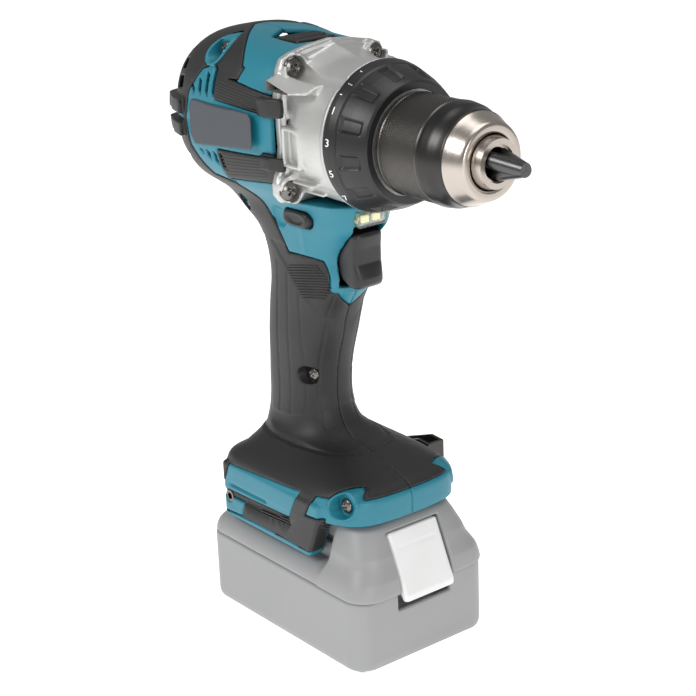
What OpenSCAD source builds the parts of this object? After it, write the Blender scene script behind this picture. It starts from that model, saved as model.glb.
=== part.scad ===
// Cordless hammer drill with a slide-on battery pack.
// +X runs forwards along the chuck, +Z up; the origin is the middle of the pack's base.

/* [Head] */
// Height of the chuck axis above the base
axis_z = 238.8; // [237:0.1:241]
// Half-width of the motor housing at its widest
head_half_w = 37; // [36.5:0.1:37.5]
// Wall of the plastic shells
wall = 2.6; // [2.2:0.2:2.8]
// Thickness of the rubber skin laid into the shells
skin = 1.3; // [1.1:0.1:1.4]

/* [Clutch ring and chuck] */
// Largest radius of the torque ring
ring_r = 32.8; // [32.5:0.1:33.5]
// Radius of the knurled chuck sleeve
sleeve_r = 21.9; // [21.6:0.1:22.2]
// Slope of the chuck jaws against the drill axis
jaw_slope = 15; // [14:0.5:15]
// How far each jaw draws back along its own bore
jaw_travel = 24; // [10:1:24]

/* [Gears] */
// Tooth module of both planetary stages
gear_module = 1; // [0.9:0.05:1]
// Teeth on each sun and planet; the ring gears have three times as many
small_teeth = 15; // [15:3:15]

/* [Handle] */
// Half-width of the grip
grip_half_w = 17.5; // [16.5:0.5:18]
// How far the trigger pulls in
trigger_travel = 6.5; // [3:0.5:7]

/* [Battery pack] */
// Length of the pack
pack_l = 116; // [112:1:116]
// Width of the pack
pack_w = 77; // [75:0.5:77]
// Height of the seam between the pack's two cases
seam_z = 36; // [35:0.5:37]

/* [Hidden] */

// Stations along the drill axis
flange_x = 2;         // front of the shells, back of the gear case
rim_x = 38.6;         // back edge of the torque ring
ring_front_x = 58.8;
sleeve_x = [60, 84.5, 97.4, 106];  // sleeve, collar, nose cone, front face
nose_x = 110;
tip_x = 125;
jaw_cross_x = 122;    // where the jaw axes cross the drill axis
jaw_r = 3.6;
jaw_l = 38;
body_r = 15.4;        // chuck body
bore_r = 6.6;         // chuck body's through bore
spindle_r = 7.47;
play = 0.05;          // running clearance on a radius

// Planetary gears
pitch_r = small_teeth * gear_module / 2;
ring_teeth = 3 * small_teeth;
orbit_r = 2 * pitch_r;
ring_gear_r = 27.4;
stage_x = [7.5, 17];   // back face of each stage
face_w = 6;
pressure = 20;
backlash = 0.12;

// Grip, foot and pack
lever_z = 199.4;
lever_x = 1.4;
selector_x = [-21, -5];
foot_roof_z = 66.5;
rail_z = 50;
rail_x = [-46, 30];
rail_half_w = 37.9;
tower_half_w = 27.6;
cell_r = 9.1;
cell_l = 65;
fine = 72;

// ---------------------------------------------------------------- shared shapes

function squircle(a, up, down, n, k) = [for (i = [0:k - 1])
  let (t = 360 * (i + 0.5) / k, c = cos(t), s = sin(t), v = pow(abs(s), 2 / n))
    [a * sign(c) * pow(abs(c), 2 / n), s > 0 ? up * v : -down * v]];

// A closed solid through rings of points that all have the same count.
module loft(rings) {
  k = len(rings[0]);
  n = len(rings);
  sides = [for (j = [0:n - 2], i = [0:k - 1]) let (a = j * k, b = a + k, i2 = (i + 1) % k)
    each [[a + i, b + i2, a + i2], [a + i, b + i, b + i2]]];
  caps = [[for (i = [0:k - 1]) i], [for (i = [k - 1:-1:0]) (n - 1) * k + i]];
  polyhedron(points = [for (ring = rings) each ring], faces = concat(sides, caps));
}

module on_axis() translate([0, 0, axis_z]) rotate([0, 90, 0]) children();

// A solid turned about the drill axis from [radius, x] points.
module turned(profile) on_axis() rotate_extrude($fn = fine) polygon(profile);

module tube_x(x0, x1, r_out, r_in) on_axis() translate([0, 0, x0]) difference() {
  cylinder(r = r_out, h = x1 - x0, $fn = fine);
  translate([0, 0, -1]) cylinder(r = r_in, h = x1 - x0 + 2, $fn = fine);
}

module box(lo, hi) translate(lo) cube(hi - lo);

module rounded_plate(x, y, r, h, n = 32) linear_extrude(h) hull()
  for (sx = [-1, 1], sy = [-1, 1]) translate([sx * (x - r), sy * (y - r)]) circle(r = r, $fn = n);

module half(side) intersection() {
  children();
  translate([-150, side > 0 ? 0 : -100, -20]) cube([300, 100, 340]);
}

// Prism across the tool from a side outline of [x, z] points, between two y values.
module side_prism(outline, y0, y1) translate([0, y1, 0]) rotate([90, 0, 0])
  linear_extrude(y1 - y0) polygon(outline);

// ---------------------------------------------------------------- outer form

// Motor housing: x, half-width, height over the axis, depth under it, squareness.
head_stations = [
  [-78, 18, 16, 15, 2.4], [-75, 26, 23.5, 21, 2.5], [-69, 32, 30.5, 27.5, 2.6],
  [-61, 35.4, 35.4, 32.5, 2.7],
  [-50, 37, 38, 34.6, 2.8], [-36, 37.2, 38.4, 35, 2.8], [-18, 36, 37, 33.4, 2.8],
  [-6, 34.2, 36.5, 31.6, 2.9], [flange_x, 32.2, 36.4, 30.6, 3]];

// Grip: z, middle x, half-depth, half-width, squareness.
grip_stations = [
  [84, -13.5, 32, 24.4, 2.8], [90, -16, 27, 20.8, 2.7], [97, -18.8, 22.8, 18, 2.6],
  [104, -20.2, 20.8, 16.7, 2.5],
  [112, -20.6, 19.8, grip_half_w - 1.1, 2.5], [126, -19.4, 19.9, grip_half_w - 0.7, 2.5],
  [142, -16.4, 21.8, grip_half_w, 2.5], [156, -12.9, 23.4, grip_half_w, 2.5],
  [164, -10, 25.2, grip_half_w, 2.5],
  [171, -8.8, 26.8, grip_half_w, 2.5], [182, -10.4, 28, grip_half_w + 0.4, 2.5],
  [190, -10.6, 34, grip_half_w + 1, 2.6], [196.5, -12.6, 42, grip_half_w + 1.8, 2.8],
  [203, -15, 45.6, grip_half_w + 3, 3], [212, -16, 48, 24, 3]];

module head_form(inset, k = 36) translate([0, 0, axis_z]) loft([for (s = head_stations)
  let (end = s[0] < -77 ? inset : 0, a = s[1] + head_half_w - 37 - inset)
    [for (p = squircle(a, s[2] - inset, s[3] - inset, s[4], k)) [s[0] + end, p[0], p[1]]]]);

module grip_form(inset, k = 32) loft([for (s = grip_stations)
  [for (p = squircle(s[2] - inset, s[3] - inset, s[3] - inset, s[4], k)) [s[1] + p[0], p[1], s[0]]]]);

// Foot: a stack of plans with chamfered front corners, sloping up to the grip. z, back, front, half-width.
foot_layers = [[66.8, -52, 51, 38], [76, -50.6, 51, 37.6], [80, -48.4, 50, 36.2], [82.6, -44, 47, 33.6],
               [86.5, -37, 36, 27.6], [90.5, -29, 22, 19]];
foot_plan = [[-1, 0.56], [-0.93, 0.86], [-0.78, 1], [0.5, 1], [0.72, 0.93], [0.95, 0.7], [1, 0.5]];

function foot_ring(f, inset) = let (
    mid = (f[1] + f[2]) / 2, deep = (f[2] - f[1]) / 2 - inset, wide = f[3] - inset,
    z = f[0] - (f[0] > 70 ? inset : 0))
  [each [for (i = [0:6]) [mid + deep * foot_plan[i][0], -wide * foot_plan[i][1], z]],
   each [for (i = [6:-1:0]) [mid + deep * foot_plan[i][0], wide * foot_plan[i][1], z]]];

module foot_form(inset) loft([for (f = foot_layers) foot_ring(f, inset)]);

module skin_form(inset, k = 36) {
  head_form(inset, k);
  grip_form(inset, k - 4);
  foot_form(inset);
  rails(inset);
}

// Bars across the back near the height of the axis: two of rubber with one of plastic between.
bars = [[1.4, 8.4], [-8.6, -2.2]];
module rear_bar(z0, z1, proud) intersection() {
  head_form(-proud, 28);
  box([-90, -60, axis_z + z0], [-58, 60, axis_z + z1]);
}

module rails(inset) for (side = [-1, 1])
  hull() for (x = [rail_x[0] + 6, rail_x[1] - 3], z = [rail_z + 3 + inset, foot_roof_z + 3])
    translate([x, side * (rail_half_w - 4.5), z]) rotate([0, 90, 0]) rotate([0, 0, 45])
      cylinder(r = (4.5 - inset) * sqrt(2), h = 6, center = true, $fn = 4);

// ---------------------------------------------------------------- shells and rubber skin

// Side outlines of the rubber, [x, z].
neck_rubber = [[-90, 219], [-58, 214], [-36, 206], [-24, 206], [-9, 181], [17, 183], [22, 176], [30, 165],
               [40, 150], [30, 95], [70, 95], [70, 81], [33, 81], [24, 84], [-60, 84], [-62, 70], [-75, 160]];
// The upper and lower rib bands of the motor housing: back x, front x, back z, front z at each edge.
bands = [[[-33, 261], [-22, 259.5], [1.9, 255.5], [1.9, 246], [-33, 249.5]],
         [[-33, 228], [-4, 230], [1.9, 228], [1.9, 216.4], [-33, 213.5]]];
rear_cap = [[-90, 290], [-20, 290], [-15.5, 271], [-20, 259], [-32, 259.5], [-44, 263], [-53, 251],
            [-56.5, 238], [-54, 226], [-43, 214], [-30, 212], [-24, 206], [-90, 190]];

// Plan of the bare panel on top of the motor housing.
top_panel = [[-46, -4], [-46, 4], [-21, 30], [0, 30], [0, -30], [-21, -30]];

module rubber_region() {
  side_prism(neck_rubber, -60, 60);
  difference() {
    side_prism(rear_cap, -60, 60);
    translate([0, 0, axis_z + 24]) linear_extrude(60) polygon(top_panel);
  }
  for (b = bands) side_prism(b, -60, 60);
  box([-46, -60, 52], [12, -35.5, 84]);
  box([-46, 35.5, 52], [12, 60, 84]);
}

// Openings that both the shell and the rubber leave free.
module shared_openings() {
  trigger_opening();
  hull() for (x = [-5.4, 5.4]) translate([lever_x + x, 0, lever_z]) rotate([90, 0, 0])
    cylinder(r = 4, h = 80, center = true, $fn = 16);
  for (s = screw_places) translate([s[0], 0, s[1]]) rotate([90, 0, 0]) {
    translate([0, 0, -16]) cylinder(r = 1.8, h = 60, $fn = 16);
    translate([0, 0, s[2]]) cylinder(r = s[3], h = 40, $fn = 16);
  }
  box([25.3, -9.1, 197], [60, 9.1, 204.8]);
  vents();
  box([selector_x[0] - 6, -11.5, axis_z + 32], [selector_x[1] + 8, 11.5, axis_z + 60]);
  hook_seats();
}

module trigger_opening() side_prism([[3, 196], [60, 196], [60, 167], [14, 167], [6, 169.6], [3, 174]], -8.7, 8.7);

// Screws that hold the halves together: x, z, distance of the head from the middle, radius of its recess.
screw_places = [[-5.5, 122.2, 9, 3.8], [-39.5, 269.6, 20, 4.9], [40, 77, 20, 3.8], [-40, 199, 14, 3.8]];

// Air slots: a row above and below the rating plate, and square ones round the back.
module vents() {
  for (side = [-1, 1]) {
    for (i = [0:3]) {
      vent_slot(side, -50 + 5.2 * i, axis_z + 12, axis_z + 14 + 3 * i);
      vent_slot(side, -46 + 5 * i, axis_z - 15 - 1.5 * i, axis_z - 13);
    }
  }
  for (side = [-1, 1], a = [24, 37, 50, -30])
    translate([-66, 0, axis_z]) rotate([side * a - side * 90 + 90, 0, 0])
      translate([0, side * 20, 0]) cube([6, 60, 5], center = true);
}

module vent_slot(side, x, z0, z1) box([x - 1.2, side * 38 - 7, z0], [x + 1.2, side * 38 + 7, z1]);

// Flat seats with a brass insert on each flank of the foot.
insert_x = -39;
insert_z = 58.5;
module hook_seats() for (side = [-1, 1]) {
  translate([insert_x, side * 38, insert_z]) rotate([90, 0, 0])
    cylinder(r = 3.05, h = 20, center = true, $fn = 32);
  box([-38, side > 0 ? 36.6 : -40, 70.5], [-6, side > 0 ? 40 : -36.6, 73]);
}

// Room for what the halves hold.
module cavity() {
  difference() {
    skin_form(skin + wall, 24);
    box([-70, -3, 96], [40, 3, 104]);
  }
  on_axis() translate([0, 0, -1]) cylinder(r = 30.2, h = 30, $fn = 64);
  pack_bay();
}

// Slot from the front that takes the pack's tower, with a tongue along each side.
module pack_bay() {
  difference() {
    union() {
      box([-44, -tower_half_w - 0.4, 20], [90, tower_half_w + 0.4, foot_roof_z]);
      box([rail_x[1] + 1.5, -60, 20], [90, 60, foot_roof_z + 1.5]);
    }
    for (side = [-1, 1])
      box([-44, side * tower_half_w - (side > 0 ? 2.6 : 2), 54],
          [rail_x[1] - 4, side * tower_half_w + (side > 0 ? 2 : 2.6), 57]);
  }
  box([34, -9, 60], [90, 9, foot_roof_z + 4.2]);
}

module screw_bosses() intersection() {
  skin_form(skin + wall - 0.4);
  for (s = screw_places) translate([s[0], 0, s[1]]) rotate([90, 0, 0]) difference() {
    cylinder(r = s[3] + 1.4, h = 60, center = true, $fn = 16);
    cylinder(r = 1.8, h = 62, center = true, $fn = 16);
  }
}

// Faired bosses for the two lower screws of the gear case.
module case_bosses(r) for (p = case_screw_places) if (p[1] < 0) front_view() translate([p[0], p[1], 0]) {
  translate([0, 0, -9]) cylinder(r = r, h = 11, $fn = 24);
  translate([0, 0, -24]) cylinder(r1 = 0.4, r2 = r, h = 15.01, $fn = 24);
}

module case_screw_holes() for (p = case_screw_places) front_view() translate([p[0], p[1], -14])
  cylinder(r = 2, h = 22, $fn = 24);

module shell(side) half(side) difference() {
  union() {
    difference() {
      union() {
        skin_form(skin);
        difference() {
          skin_form(0);
          rubber_region();
        }
        rear_bar(bars[1][1], bars[0][0], 2.6);
      }
      cavity();
    }
    screw_bosses();
    case_bosses(4.2);
  }
  shared_openings();
  flange_clearance();
  inner_clearance();
  case_screw_holes();
}

module flange_clearance() {
  box([flange_x, -33.5, axis_z - 31.2], [80, 33.5, 300]);
  tube_solid(7, 80, 33.1);
}

// Space that the fixed inner pieces need inside the bosses and ribs.
module inner_clearance() {
  tube_solid(-56, 10, 26.5);
  box([-26, -9, 160], [17, 9, 196]);
  box([-38, -26, foot_roof_z - 1], [37, 26, 82]);
}

module tube_solid(x0, x1, r) on_axis() translate([0, 0, x0]) cylinder(r = r, h = x1 - x0, $fn = 64);

// The rib bands end in blocks that lap over the edge of the gear case's flange.
block_plan = [[-8, 33.6], [1.9, 33.6], [1.9, 31.6], [6.3, 31.6], [6.3, 29.8], [9.8, 29.8], [9.4, 33.4],
              [4, 36.4], [-8, 36.6]];
block_z = [[247, 255.2], [223.6, 229.4]];

module end_blocks(side) for (z = block_z) translate([0, 0, z[0]]) linear_extrude(z[1] - z[0])
  polygon([for (p = block_plan) [p[0], side * p[1]]]);

module rubber(side) half(side) {
  difference() {
    union() {
      difference() {
        intersection() {
          skin_form(0);
          rubber_region();
        }
        box([-90, -60, axis_z + bars[1][1]], [-58, 60, axis_z + bars[0][0]]);
      }
      for (b = bars) rear_bar(b[0], b[1], 3.4);
    }
    skin_form(skin + 0.02);
    shared_openings();
    flange_clearance();
    pack_bay();
    rating_recess();
    case_bosses(4.22);
  }
  end_blocks(side);
}

module rating_recess() for (side = [-1, 1]) side_prism([[-57, 253], [-57, 229], [-8, 231], [-8, 247]],
  side > 0 ? 37.4 : -60, side > 0 ? 60 : -37.4);

module housing_right() color("teal") shell(-1);
module housing_left() color("teal") shell(1);
module skin_right() color("dimgray") rubber(-1);
module skin_left() color("dimgray") rubber(1);

module housing_screws() color("black") for (s = screw_places) translate([s[0], -s[2] - 0.2, s[1]])
  rotate([-90, 0, 0]) pan_screw(3.4, 2.2, 1.6, 18);

// A pan head with a cross recess, its shank running along +Z.
module pan_screw(head_r, head_h, shank_r, shank_l) difference() {
  union() {
    translate([0, 0, -head_h]) cylinder(r = head_r, h = head_h, $fn = 48);
    cylinder(r = shank_r, h = shank_l, $fn = 32);
  }
  for (a = [0, 90]) rotate(a) translate([0, 0, -head_h])
    cube([head_r * 1.3, head_r * 0.28, head_h], center = true);
}

module rating_plate() color("darkslategray") side_prism([[-50, 249.5], [-51, 231], [-9, 233], [-9, 245.5]],
  -37.9, -37.45);

// ---------------------------------------------------------------- gear case

flange_outline = [[-31, 16], [-29.8, 22], [-29, 28], [-26.8, 32.4], [-22, 34.3], [-12, 36.4], [0, 37.8],
                  [12, 36.4], [22, 34.3], [26.8, 32.4], [29, 28], [29.8, 22], [31, 16], [30, 6], [29.6, -5], [30.6, -14],
                  [33.2, -21], [33.2, -26], [30.4, -29.8], [26, -31], [-26, -31], [-30.4, -29.8], [-33.2, -26],
                  [-33.2, -21], [-30.6, -14], [-29.6, -5], [-30, 6]];
case_screw_places = [[22.2, 28.4], [-22.2, 28.4], [27.2, -24.6], [-27.2, -24.6]];

// The local frame of on_axis() has +X down, so a front view point [y, z] is laid out as [-z, y].
module front_view() on_axis() rotate(90) children();

module flange_plate(x0, x1, shrink = 0) front_view() translate([0, 0, x0]) linear_extrude(x1 - x0)
  polygon([for (p = flange_outline) [p[0] - shrink * sign(p[0]), p[1] - shrink * sign(p[1])]]);

module gear_case() color("silver") difference() {
  union() {
    flange_plate(flange_x + 0.05, 6);
    hull() {
      flange_plate(5.9, 6, 4.5);
      on_axis() translate([0, 0, 22]) cylinder(r = 31.6, h = 0.1, $fn = 64);
    }
    turned([[0, 20], [31.4, 20], [32.2, 30], [32.6, rim_x - 0.8], [32.6, rim_x - 0.3], [0, rim_x - 0.3]]);
    on_axis() translate([0, 0, rim_x - 1]) cylinder(r = 24.4, h = 19, $fn = fine);
  }
  on_axis() cylinder(r = 27.5, h = 31.5, $fn = fine);
  on_axis() translate([0, 0, 30]) cylinder(r = 14.03, h = 40, $fn = fine);
  for (p = case_screw_places) front_view() translate([p[0], p[1], 0]) {
    cylinder(r = 2.05, h = 40, $fn = 32);
    translate([0, 0, 6]) cylinder(r = 5, h = 40, $fn = 32);
  }
}

module gear_case_screws() color("black") for (p = case_screw_places) front_view()
  translate([p[0], p[1], 6.05]) mirror([0, 0, 1]) pan_screw(4.6, 2.6, 1.95, 19);

// ---------------------------------------------------------------- motor

module stator_core() color("gray") on_axis() translate([0, 0, -44]) difference() {
  cylinder(r = 25, h = 28, $fn = fine);
  translate([0, 0, -1]) cylinder(r = 21.2, h = 30, $fn = fine);
}

module stator_windings() color("peru") for (i = [0:5]) front_view() rotate(60 * i) translate([17, 0, -47])
  difference() {
    rounded_plate(3.3, 6.1, 2, 34, 24);
    translate([0, 0, 4]) linear_extrude(26) square([2.6, 4.4], center = true);
  }

module sensor_board() color("darkgreen") tube_x(-51, -49.4, 22, 9);
module rotor_core() color("dimgray") tube_x(-44, -16, 12, 2.5);

module cooling_fan() color("black") on_axis() {
  translate([0, 0, -9]) difference() {
    union() {
      cylinder(r = 22.5, h = 1.2, $fn = fine);
      cylinder(r = 6, h = 7, $fn = 48);
      for (i = [0:10]) rotate(i * 360 / 11) translate([6, -0.6, 0]) rotate([0, 0, 18]) cube([16, 1.2, 6]);
    }
    translate([0, 0, -1]) cylinder(r = 2.5, h = 10, $fn = 32);
  }
}

// The shaft ends in the first sun gear.
module motor_shaft() color("lightgray") {
  on_axis() translate([0, 0, -66]) cylinder(r = 2.5, h = 66 + stage_x[0], $fn = 48);
  on_axis() translate([0, 0, stage_x[0] - 0.01]) linear_extrude(face_w)
    polygon(spur(small_teeth, 0.9, 1.2, backlash));
}

module ball_bearing(x, r_in, r_out, w, balls) {
  step = (r_out - r_in) / 4;
  tube_x(x, x + w, r_out, r_out - step);
  tube_x(x, x + w, r_in + step, r_in);
  on_axis() for (i = [0:balls - 1]) rotate(i * 360 / balls) translate([(r_in + r_out) / 2, 0, x + w / 2])
    sphere(r = step - 0.02, $fn = 24);
}

module motor_bearings() color("silver") {
  ball_bearing(-64, 2.5 + play, 8, 5, 7);
  ball_bearing(1, 2.5 + play, 9.5, 5, 7);
}

// The plate that closes the back of the gear case and holds the front motor bearing.
module bearing_plate() color("lightgray") tube_x(flange_x + 0.1, 6.8, 27.4, 9.52);

// ---------------------------------------------------------------- planetary gears

function involute(a) = tan(a) * 180 / PI - a;

// Outline of an involute gear; a negative slack gives the cutter of a ring gear.
function spur(teeth, tip, root, slack) = let (
    r = teeth * gear_module / 2, base = r * cos(pressure), r_tip = r + tip * gear_module,
    r_root = r - root * gear_module, low = max(base, r_root),
    half = 90 / teeth + involute(pressure) - slack / r * 90 / PI,
    flank = [for (k = [0:3]) let (q = low + (r_tip - low) * k / 3)
      [q, half - involute(acos(min(1, base / q)))]],
    tooth = concat(r_root < low ? [[r_root, flank[0][1]]] : [], flank))
  [for (i = [0:teeth - 1]) each concat(
    [for (k = [0:len(tooth) - 1]) polar(tooth[k][0], 360 * i / teeth - tooth[k][1])],
    [for (k = [len(tooth) - 1:-1:0]) polar(tooth[k][0], 360 * i / teeth + tooth[k][1])])];

function polar(r, a) = r * [cos(a), sin(a)];

module ring_gears() color("slategray") for (x = stage_x) on_axis() translate([0, 0, x]) difference() {
  cylinder(r = ring_gear_r, h = face_w, $fn = fine);
  translate([0, 0, -1]) linear_extrude(face_w + 2) polygon(spur(ring_teeth, 1.25, 0.85, -backlash));
}

module planet(stage, i) color("lightsteelblue") on_axis() rotate(120 * i) translate([orbit_r, 0, stage_x[stage]])
  difference() {
    linear_extrude(face_w) polygon(spur(small_teeth, 0.9, 1.2, backlash));
    translate([0, 0, -1]) cylinder(r = 3, h = face_w + 2, $fn = 32);
  }

module planet_1a() planet(0, 0);
module planet_1b() planet(0, 1);
module planet_1c() planet(0, 2);
module planet_2a() planet(1, 0);
module planet_2b() planet(1, 1);
module planet_2c() planet(1, 2);

module planet_pins(x0, x1) for (i = [0:2]) on_axis() rotate(120 * i) translate([orbit_r, 0, x0])
  cylinder(r = 3 - play, h = x1 - x0, $fn = 32);

// First stage's carrier, with the second sun on its front.
module planet_carrier() color("darkgray") {
  on_axis() translate([0, 0, 13.8]) cylinder(r = 19.5, h = 2.6, $fn = fine);
  planet_pins(stage_x[0] - 0.3, 14);
  on_axis() translate([0, 0, 16.39]) linear_extrude(stage_x[1] + face_w - 16.4)
    polygon(spur(small_teeth, 0.9, 1.2, backlash));
}

// ---------------------------------------------------------------- spindle and clutch

module spindle() color("silver") difference() {
  union() {
    turned([[0, 23.4], [20, 23.4], [20, 28], [11, 28], [11, 49.8], [spindle_r, 49.8], [spindle_r, 61.6],
            [6.3, 61.6], [6.3, 79], [0, 79]]);
    planet_pins(stage_x[1] - 0.3, 24);
  }
  on_axis() translate([0, 0, 60]) cylinder(r = 2.2, h = 30, $fn = 24);
}

module spindle_bearing() color("silver") ball_bearing(50, spindle_r + 0.03, 14, 7, 9);

module clutch_spring() color("darkgray") on_axis() translate([0, 0, 39.6]) coil(10.4, 26.8, 0.9, 4, 18, 6);

// A helical spring standing on the origin along +Z.
module coil(h, r, wire_r, turns, per_turn, k) {
  steps = turns * per_turn;
  loft([for (i = [0:steps]) let (a = 360 * i / per_turn, z = wire_r + (h - 2 * wire_r) * i / steps)
    [for (j = [0:k - 1]) let (q = r + wire_r * cos(360 * j / k))
      [q * cos(a), q * sin(a), z - wire_r * sin(360 * j / k)]]]);
}

// Torque ring: a band for the scale, then a fluted grip that closes towards the chuck.
module clutch_ring() color("black") difference() {
  turned([[29, rim_x], [ring_r - 0.5, rim_x], [ring_r, rim_x + 0.6], [ring_r - 0.3, 41], [31.6, 44], [31.4, 44.6],
          [30.4, 48], [28.6, 53], [26.6, 57.4], [25.6, ring_front_x], [24.9, ring_front_x], [24.45, 57.4],
          [24.45, 51.2], [28.1, 50.4], [28.1, 42], [29, 40]]);
  on_axis() for (i = [0:11]) rotate(30 * i + 9) translate([37.1, 0, 45.6]) rotate([0, -20, 0])
    cylinder(r = 6.5, h = 20, $fn = 48);
}

// ---------------------------------------------------------------- chuck

module jaw_axis(i) on_axis() rotate(120 * i) translate([0, 0, jaw_cross_x]) rotate([0, -jaw_slope, 0]) children();

module chuck_body() color("lightgray") difference() {
  turned([[0, 61.8], [body_r, 61.8], [body_r, 84.6], [12.6, 84.6], [12.6, 92.4], [14.6, 92.4], [14.6, 97],
          [11.6, 104], [11, 106.2], [10.2, nose_x], [0, nose_x]]);
  on_axis() {
    translate([0, 0, 60]) cylinder(r = 6.35, h = 22, $fn = 48);
    translate([0, 0, 81.9]) cylinder(r = bore_r, h = 40, $fn = 48);
    translate([0, 0, nose_x - 2]) cylinder(r = 7.8, h = 10, $fn = 48);
  }
  for (i = [0:2]) jaw_axis(i) translate([0, 0, -jaw_l - jaw_travel - 13])
    cylinder(r = jaw_r + play, h = 100, $fn = 32);
}

// A sector of the drill axis that is one third of a turn, less a hair.
module third(i) on_axis() rotate(120 * i) linear_extrude(200)
  polygon([[0.06, 0], [25, 24.94 * tan(60)], [40, 0], [25, -24.94 * tan(60)]]);

module jaw(i) color("dimgray") intersection() {
  jaw_axis(i) translate([0, 0, 4 - jaw_l]) cylinder(r = jaw_r, h = jaw_l + 10, $fn = 32);
  third(i);
  on_axis() cylinder(r = 30, h = tip_x, $fn = 48);
}

module jaw_a() jaw(0);
module jaw_b() jaw(1);
module jaw_c() jaw(2);

module chuck_nut() color("gray") turned([[13.7, 86], [19.3, 86], [19.3, 91.5], [13.7, 91.5]]);

module chuck_sleeve() color("black") difference() {
  turned([[19.5, sleeve_x[0]], [sleeve_r - 0.6, sleeve_x[0]], [sleeve_r, sleeve_x[0] + 0.8], [sleeve_r, 83.6],
          [sleeve_r - 0.5, sleeve_x[1]], [19.5, sleeve_x[1]]]);
  on_axis() for (i = [0:35]) rotate(10 * i) translate([sleeve_r + 0.35, 0, 62]) rotate(45)
    cube([0.9, 0.9, 60], center = true);
}

module chuck_collar() color("black") turned([[19.4, sleeve_x[1] + 0.02], [sleeve_r - 0.2, sleeve_x[1] + 0.02],
  [sleeve_r + 0.2, 86], [sleeve_r - 0.4, 90.6], [20.3, 93.6], [19.6, sleeve_x[2]], [15.6, sleeve_x[2]],
  [15.6, 95], [19.4, 93]]);

module chuck_nose() color("silver") turned([[15.4, sleeve_x[2] + 0.02], [19.4, sleeve_x[2] + 0.02],
  [15.9, sleeve_x[3] - 0.2], [15.5, sleeve_x[3]], [11.8, sleeve_x[3]], [12.7, 102.5], [15, 98.4]]);

// ---------------------------------------------------------------- controls

module speed_selector() color("black") difference() {
  union() {
    translate([(selector_x[0] + selector_x[1]) / 2, 0, axis_z + 32.2]) rounded_plate(8, 10.4, 1.5, 4.3);
    for (i = [-1:1]) translate([(selector_x[0] + selector_x[1]) / 2 + 3 * i, 0, axis_z + 36.6])
      cube([1.2, 17, 1.2], center = true);
  }
  translate([-13, 0, axis_z + 32]) cube([6, 8, 2], center = true);
}

module switch_body() color("black") difference() {
  box([-24, -8.4, 163], [2.6, 8.4, 194]);
  box([-2.2 - trigger_travel, -5.3, 172], [4, 5.3, 189]);
}

trigger_side = [[13, 194], [27.4, 194.6], [28.6, 192.6], [26.6, 187], [26.4, 180], [28.8, 173.4], [28.4, 170.4],
                [26, 168.6], [21, 169], [16, 171.6], [13, 176]];
module trigger() color("black") {
  intersection() {
    side_prism(trigger_side, -8.2, 8.2);
    translate([8, 0, 140]) scale([1.3, 1, 1]) cylinder(r = 16.4, h = 80, $fn = 64);
  }
  box([-1.5, -5, 172.3], [13.4, 5, 188.7]);
}

module direction_lever() color("black") {
  hull() for (x = [-5.4, 5.4]) translate([lever_x + x, 0, lever_z]) rotate([90, 0, 0])
    cylinder(r = 3.6, h = 43, center = true, $fn = 32);
}

module lamp_lens() color("white")
  side_prism([[27.5, 204.4], [32.4, 204.4], [31.4, 199.2], [29.6, 197.4], [27.5, 197.4]], -8.8, 8.8);

module lamp_board() color("beige") box([25.6, -8.5, 198], [27, 8.5, 204]);

// ---------------------------------------------------------------- electrics in the tool

module motor_leads() color("darkred") for (y = [-4.2, 4.2, 6.5]) translate([-27.2, y, 0]) {
  translate([0, 0, 84.4]) cylinder(r = 1, h = 127, $fn = 16);
}

module controller() color("darkgreen") {
  box([-30, -20, 74.6], [28, 20, 76.2]);
  box([-12, -13, 76.21], [16, 13, 80.6]);
}

// Moulded block over the pack bay; the blades hang through its floor.
blade_y = [-15, -6, 6, 15];
module terminal_block() color("black") {
  box([-36, -20, foot_roof_z + 0.1], [-8, 20, 74]);
  for (y = blade_y) box([-34, y - 0.4, 59.5], [-16, y + 0.4, 68]);
}

module hook_inserts() color("goldenrod") for (side = [-1, 1]) translate([insert_x, side * 33.4, insert_z])
  rotate([side * 90, 0, 0]) translate([0, 0, -4]) difference() {
    cylinder(r = 3, h = 8, $fn = 48);
    translate([0, 0, -1]) cylinder(r = 1.65, h = 10, $fn = 32);
  }

// A bent steel strip on the left flank.
hook_y = rail_half_w + 0.4;
hook_side = [[-44.5, 53], [-33.5, 52.6], [-20, 56], [18, 68], [18, 80], [10, 80.6], [-20, 70], [-36, 64],
             [-44.5, 64]];
module belt_hook() color("black") difference() {
  union() {
    side_prism(hook_side, hook_y, hook_y + 1.6);
    box([16.4, hook_y, 67.6], [18, hook_y + 9.6, 80]);
    side_prism([[-36, 51.8], [-20, 56], [18, 67.6], [18, 80], [10, 80.6], [-20, 70], [-36, 60]],
      hook_y + 8, hook_y + 9.6);
  }
  translate([insert_x, 0, insert_z]) rotate([-90, 0, 0]) cylinder(r = 2.15, h = 60, $fn = 32);
}

module hook_screw() color("black") translate([insert_x, hook_y + 1.62, insert_z]) rotate([90, 0, 0])
  pan_screw(3.8, 2.4, 1.6, 9);

// ---------------------------------------------------------------- battery pack

module pack_slice(z, h, inset) translate([0, 0, z])
  rounded_plate(pack_l / 2 - inset, pack_w / 2 - inset, 5.5 - inset, h, 16);

module pack_lower_case() color("lightgray") difference() {
  hull() {
    pack_slice(0, 0.01, 2.5);
    pack_slice(3, seam_z - 3, 0);
  }
  pack_slice(wall, seam_z, wall);
  latch_pocket();
  pack_screw_holes();
}

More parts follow.
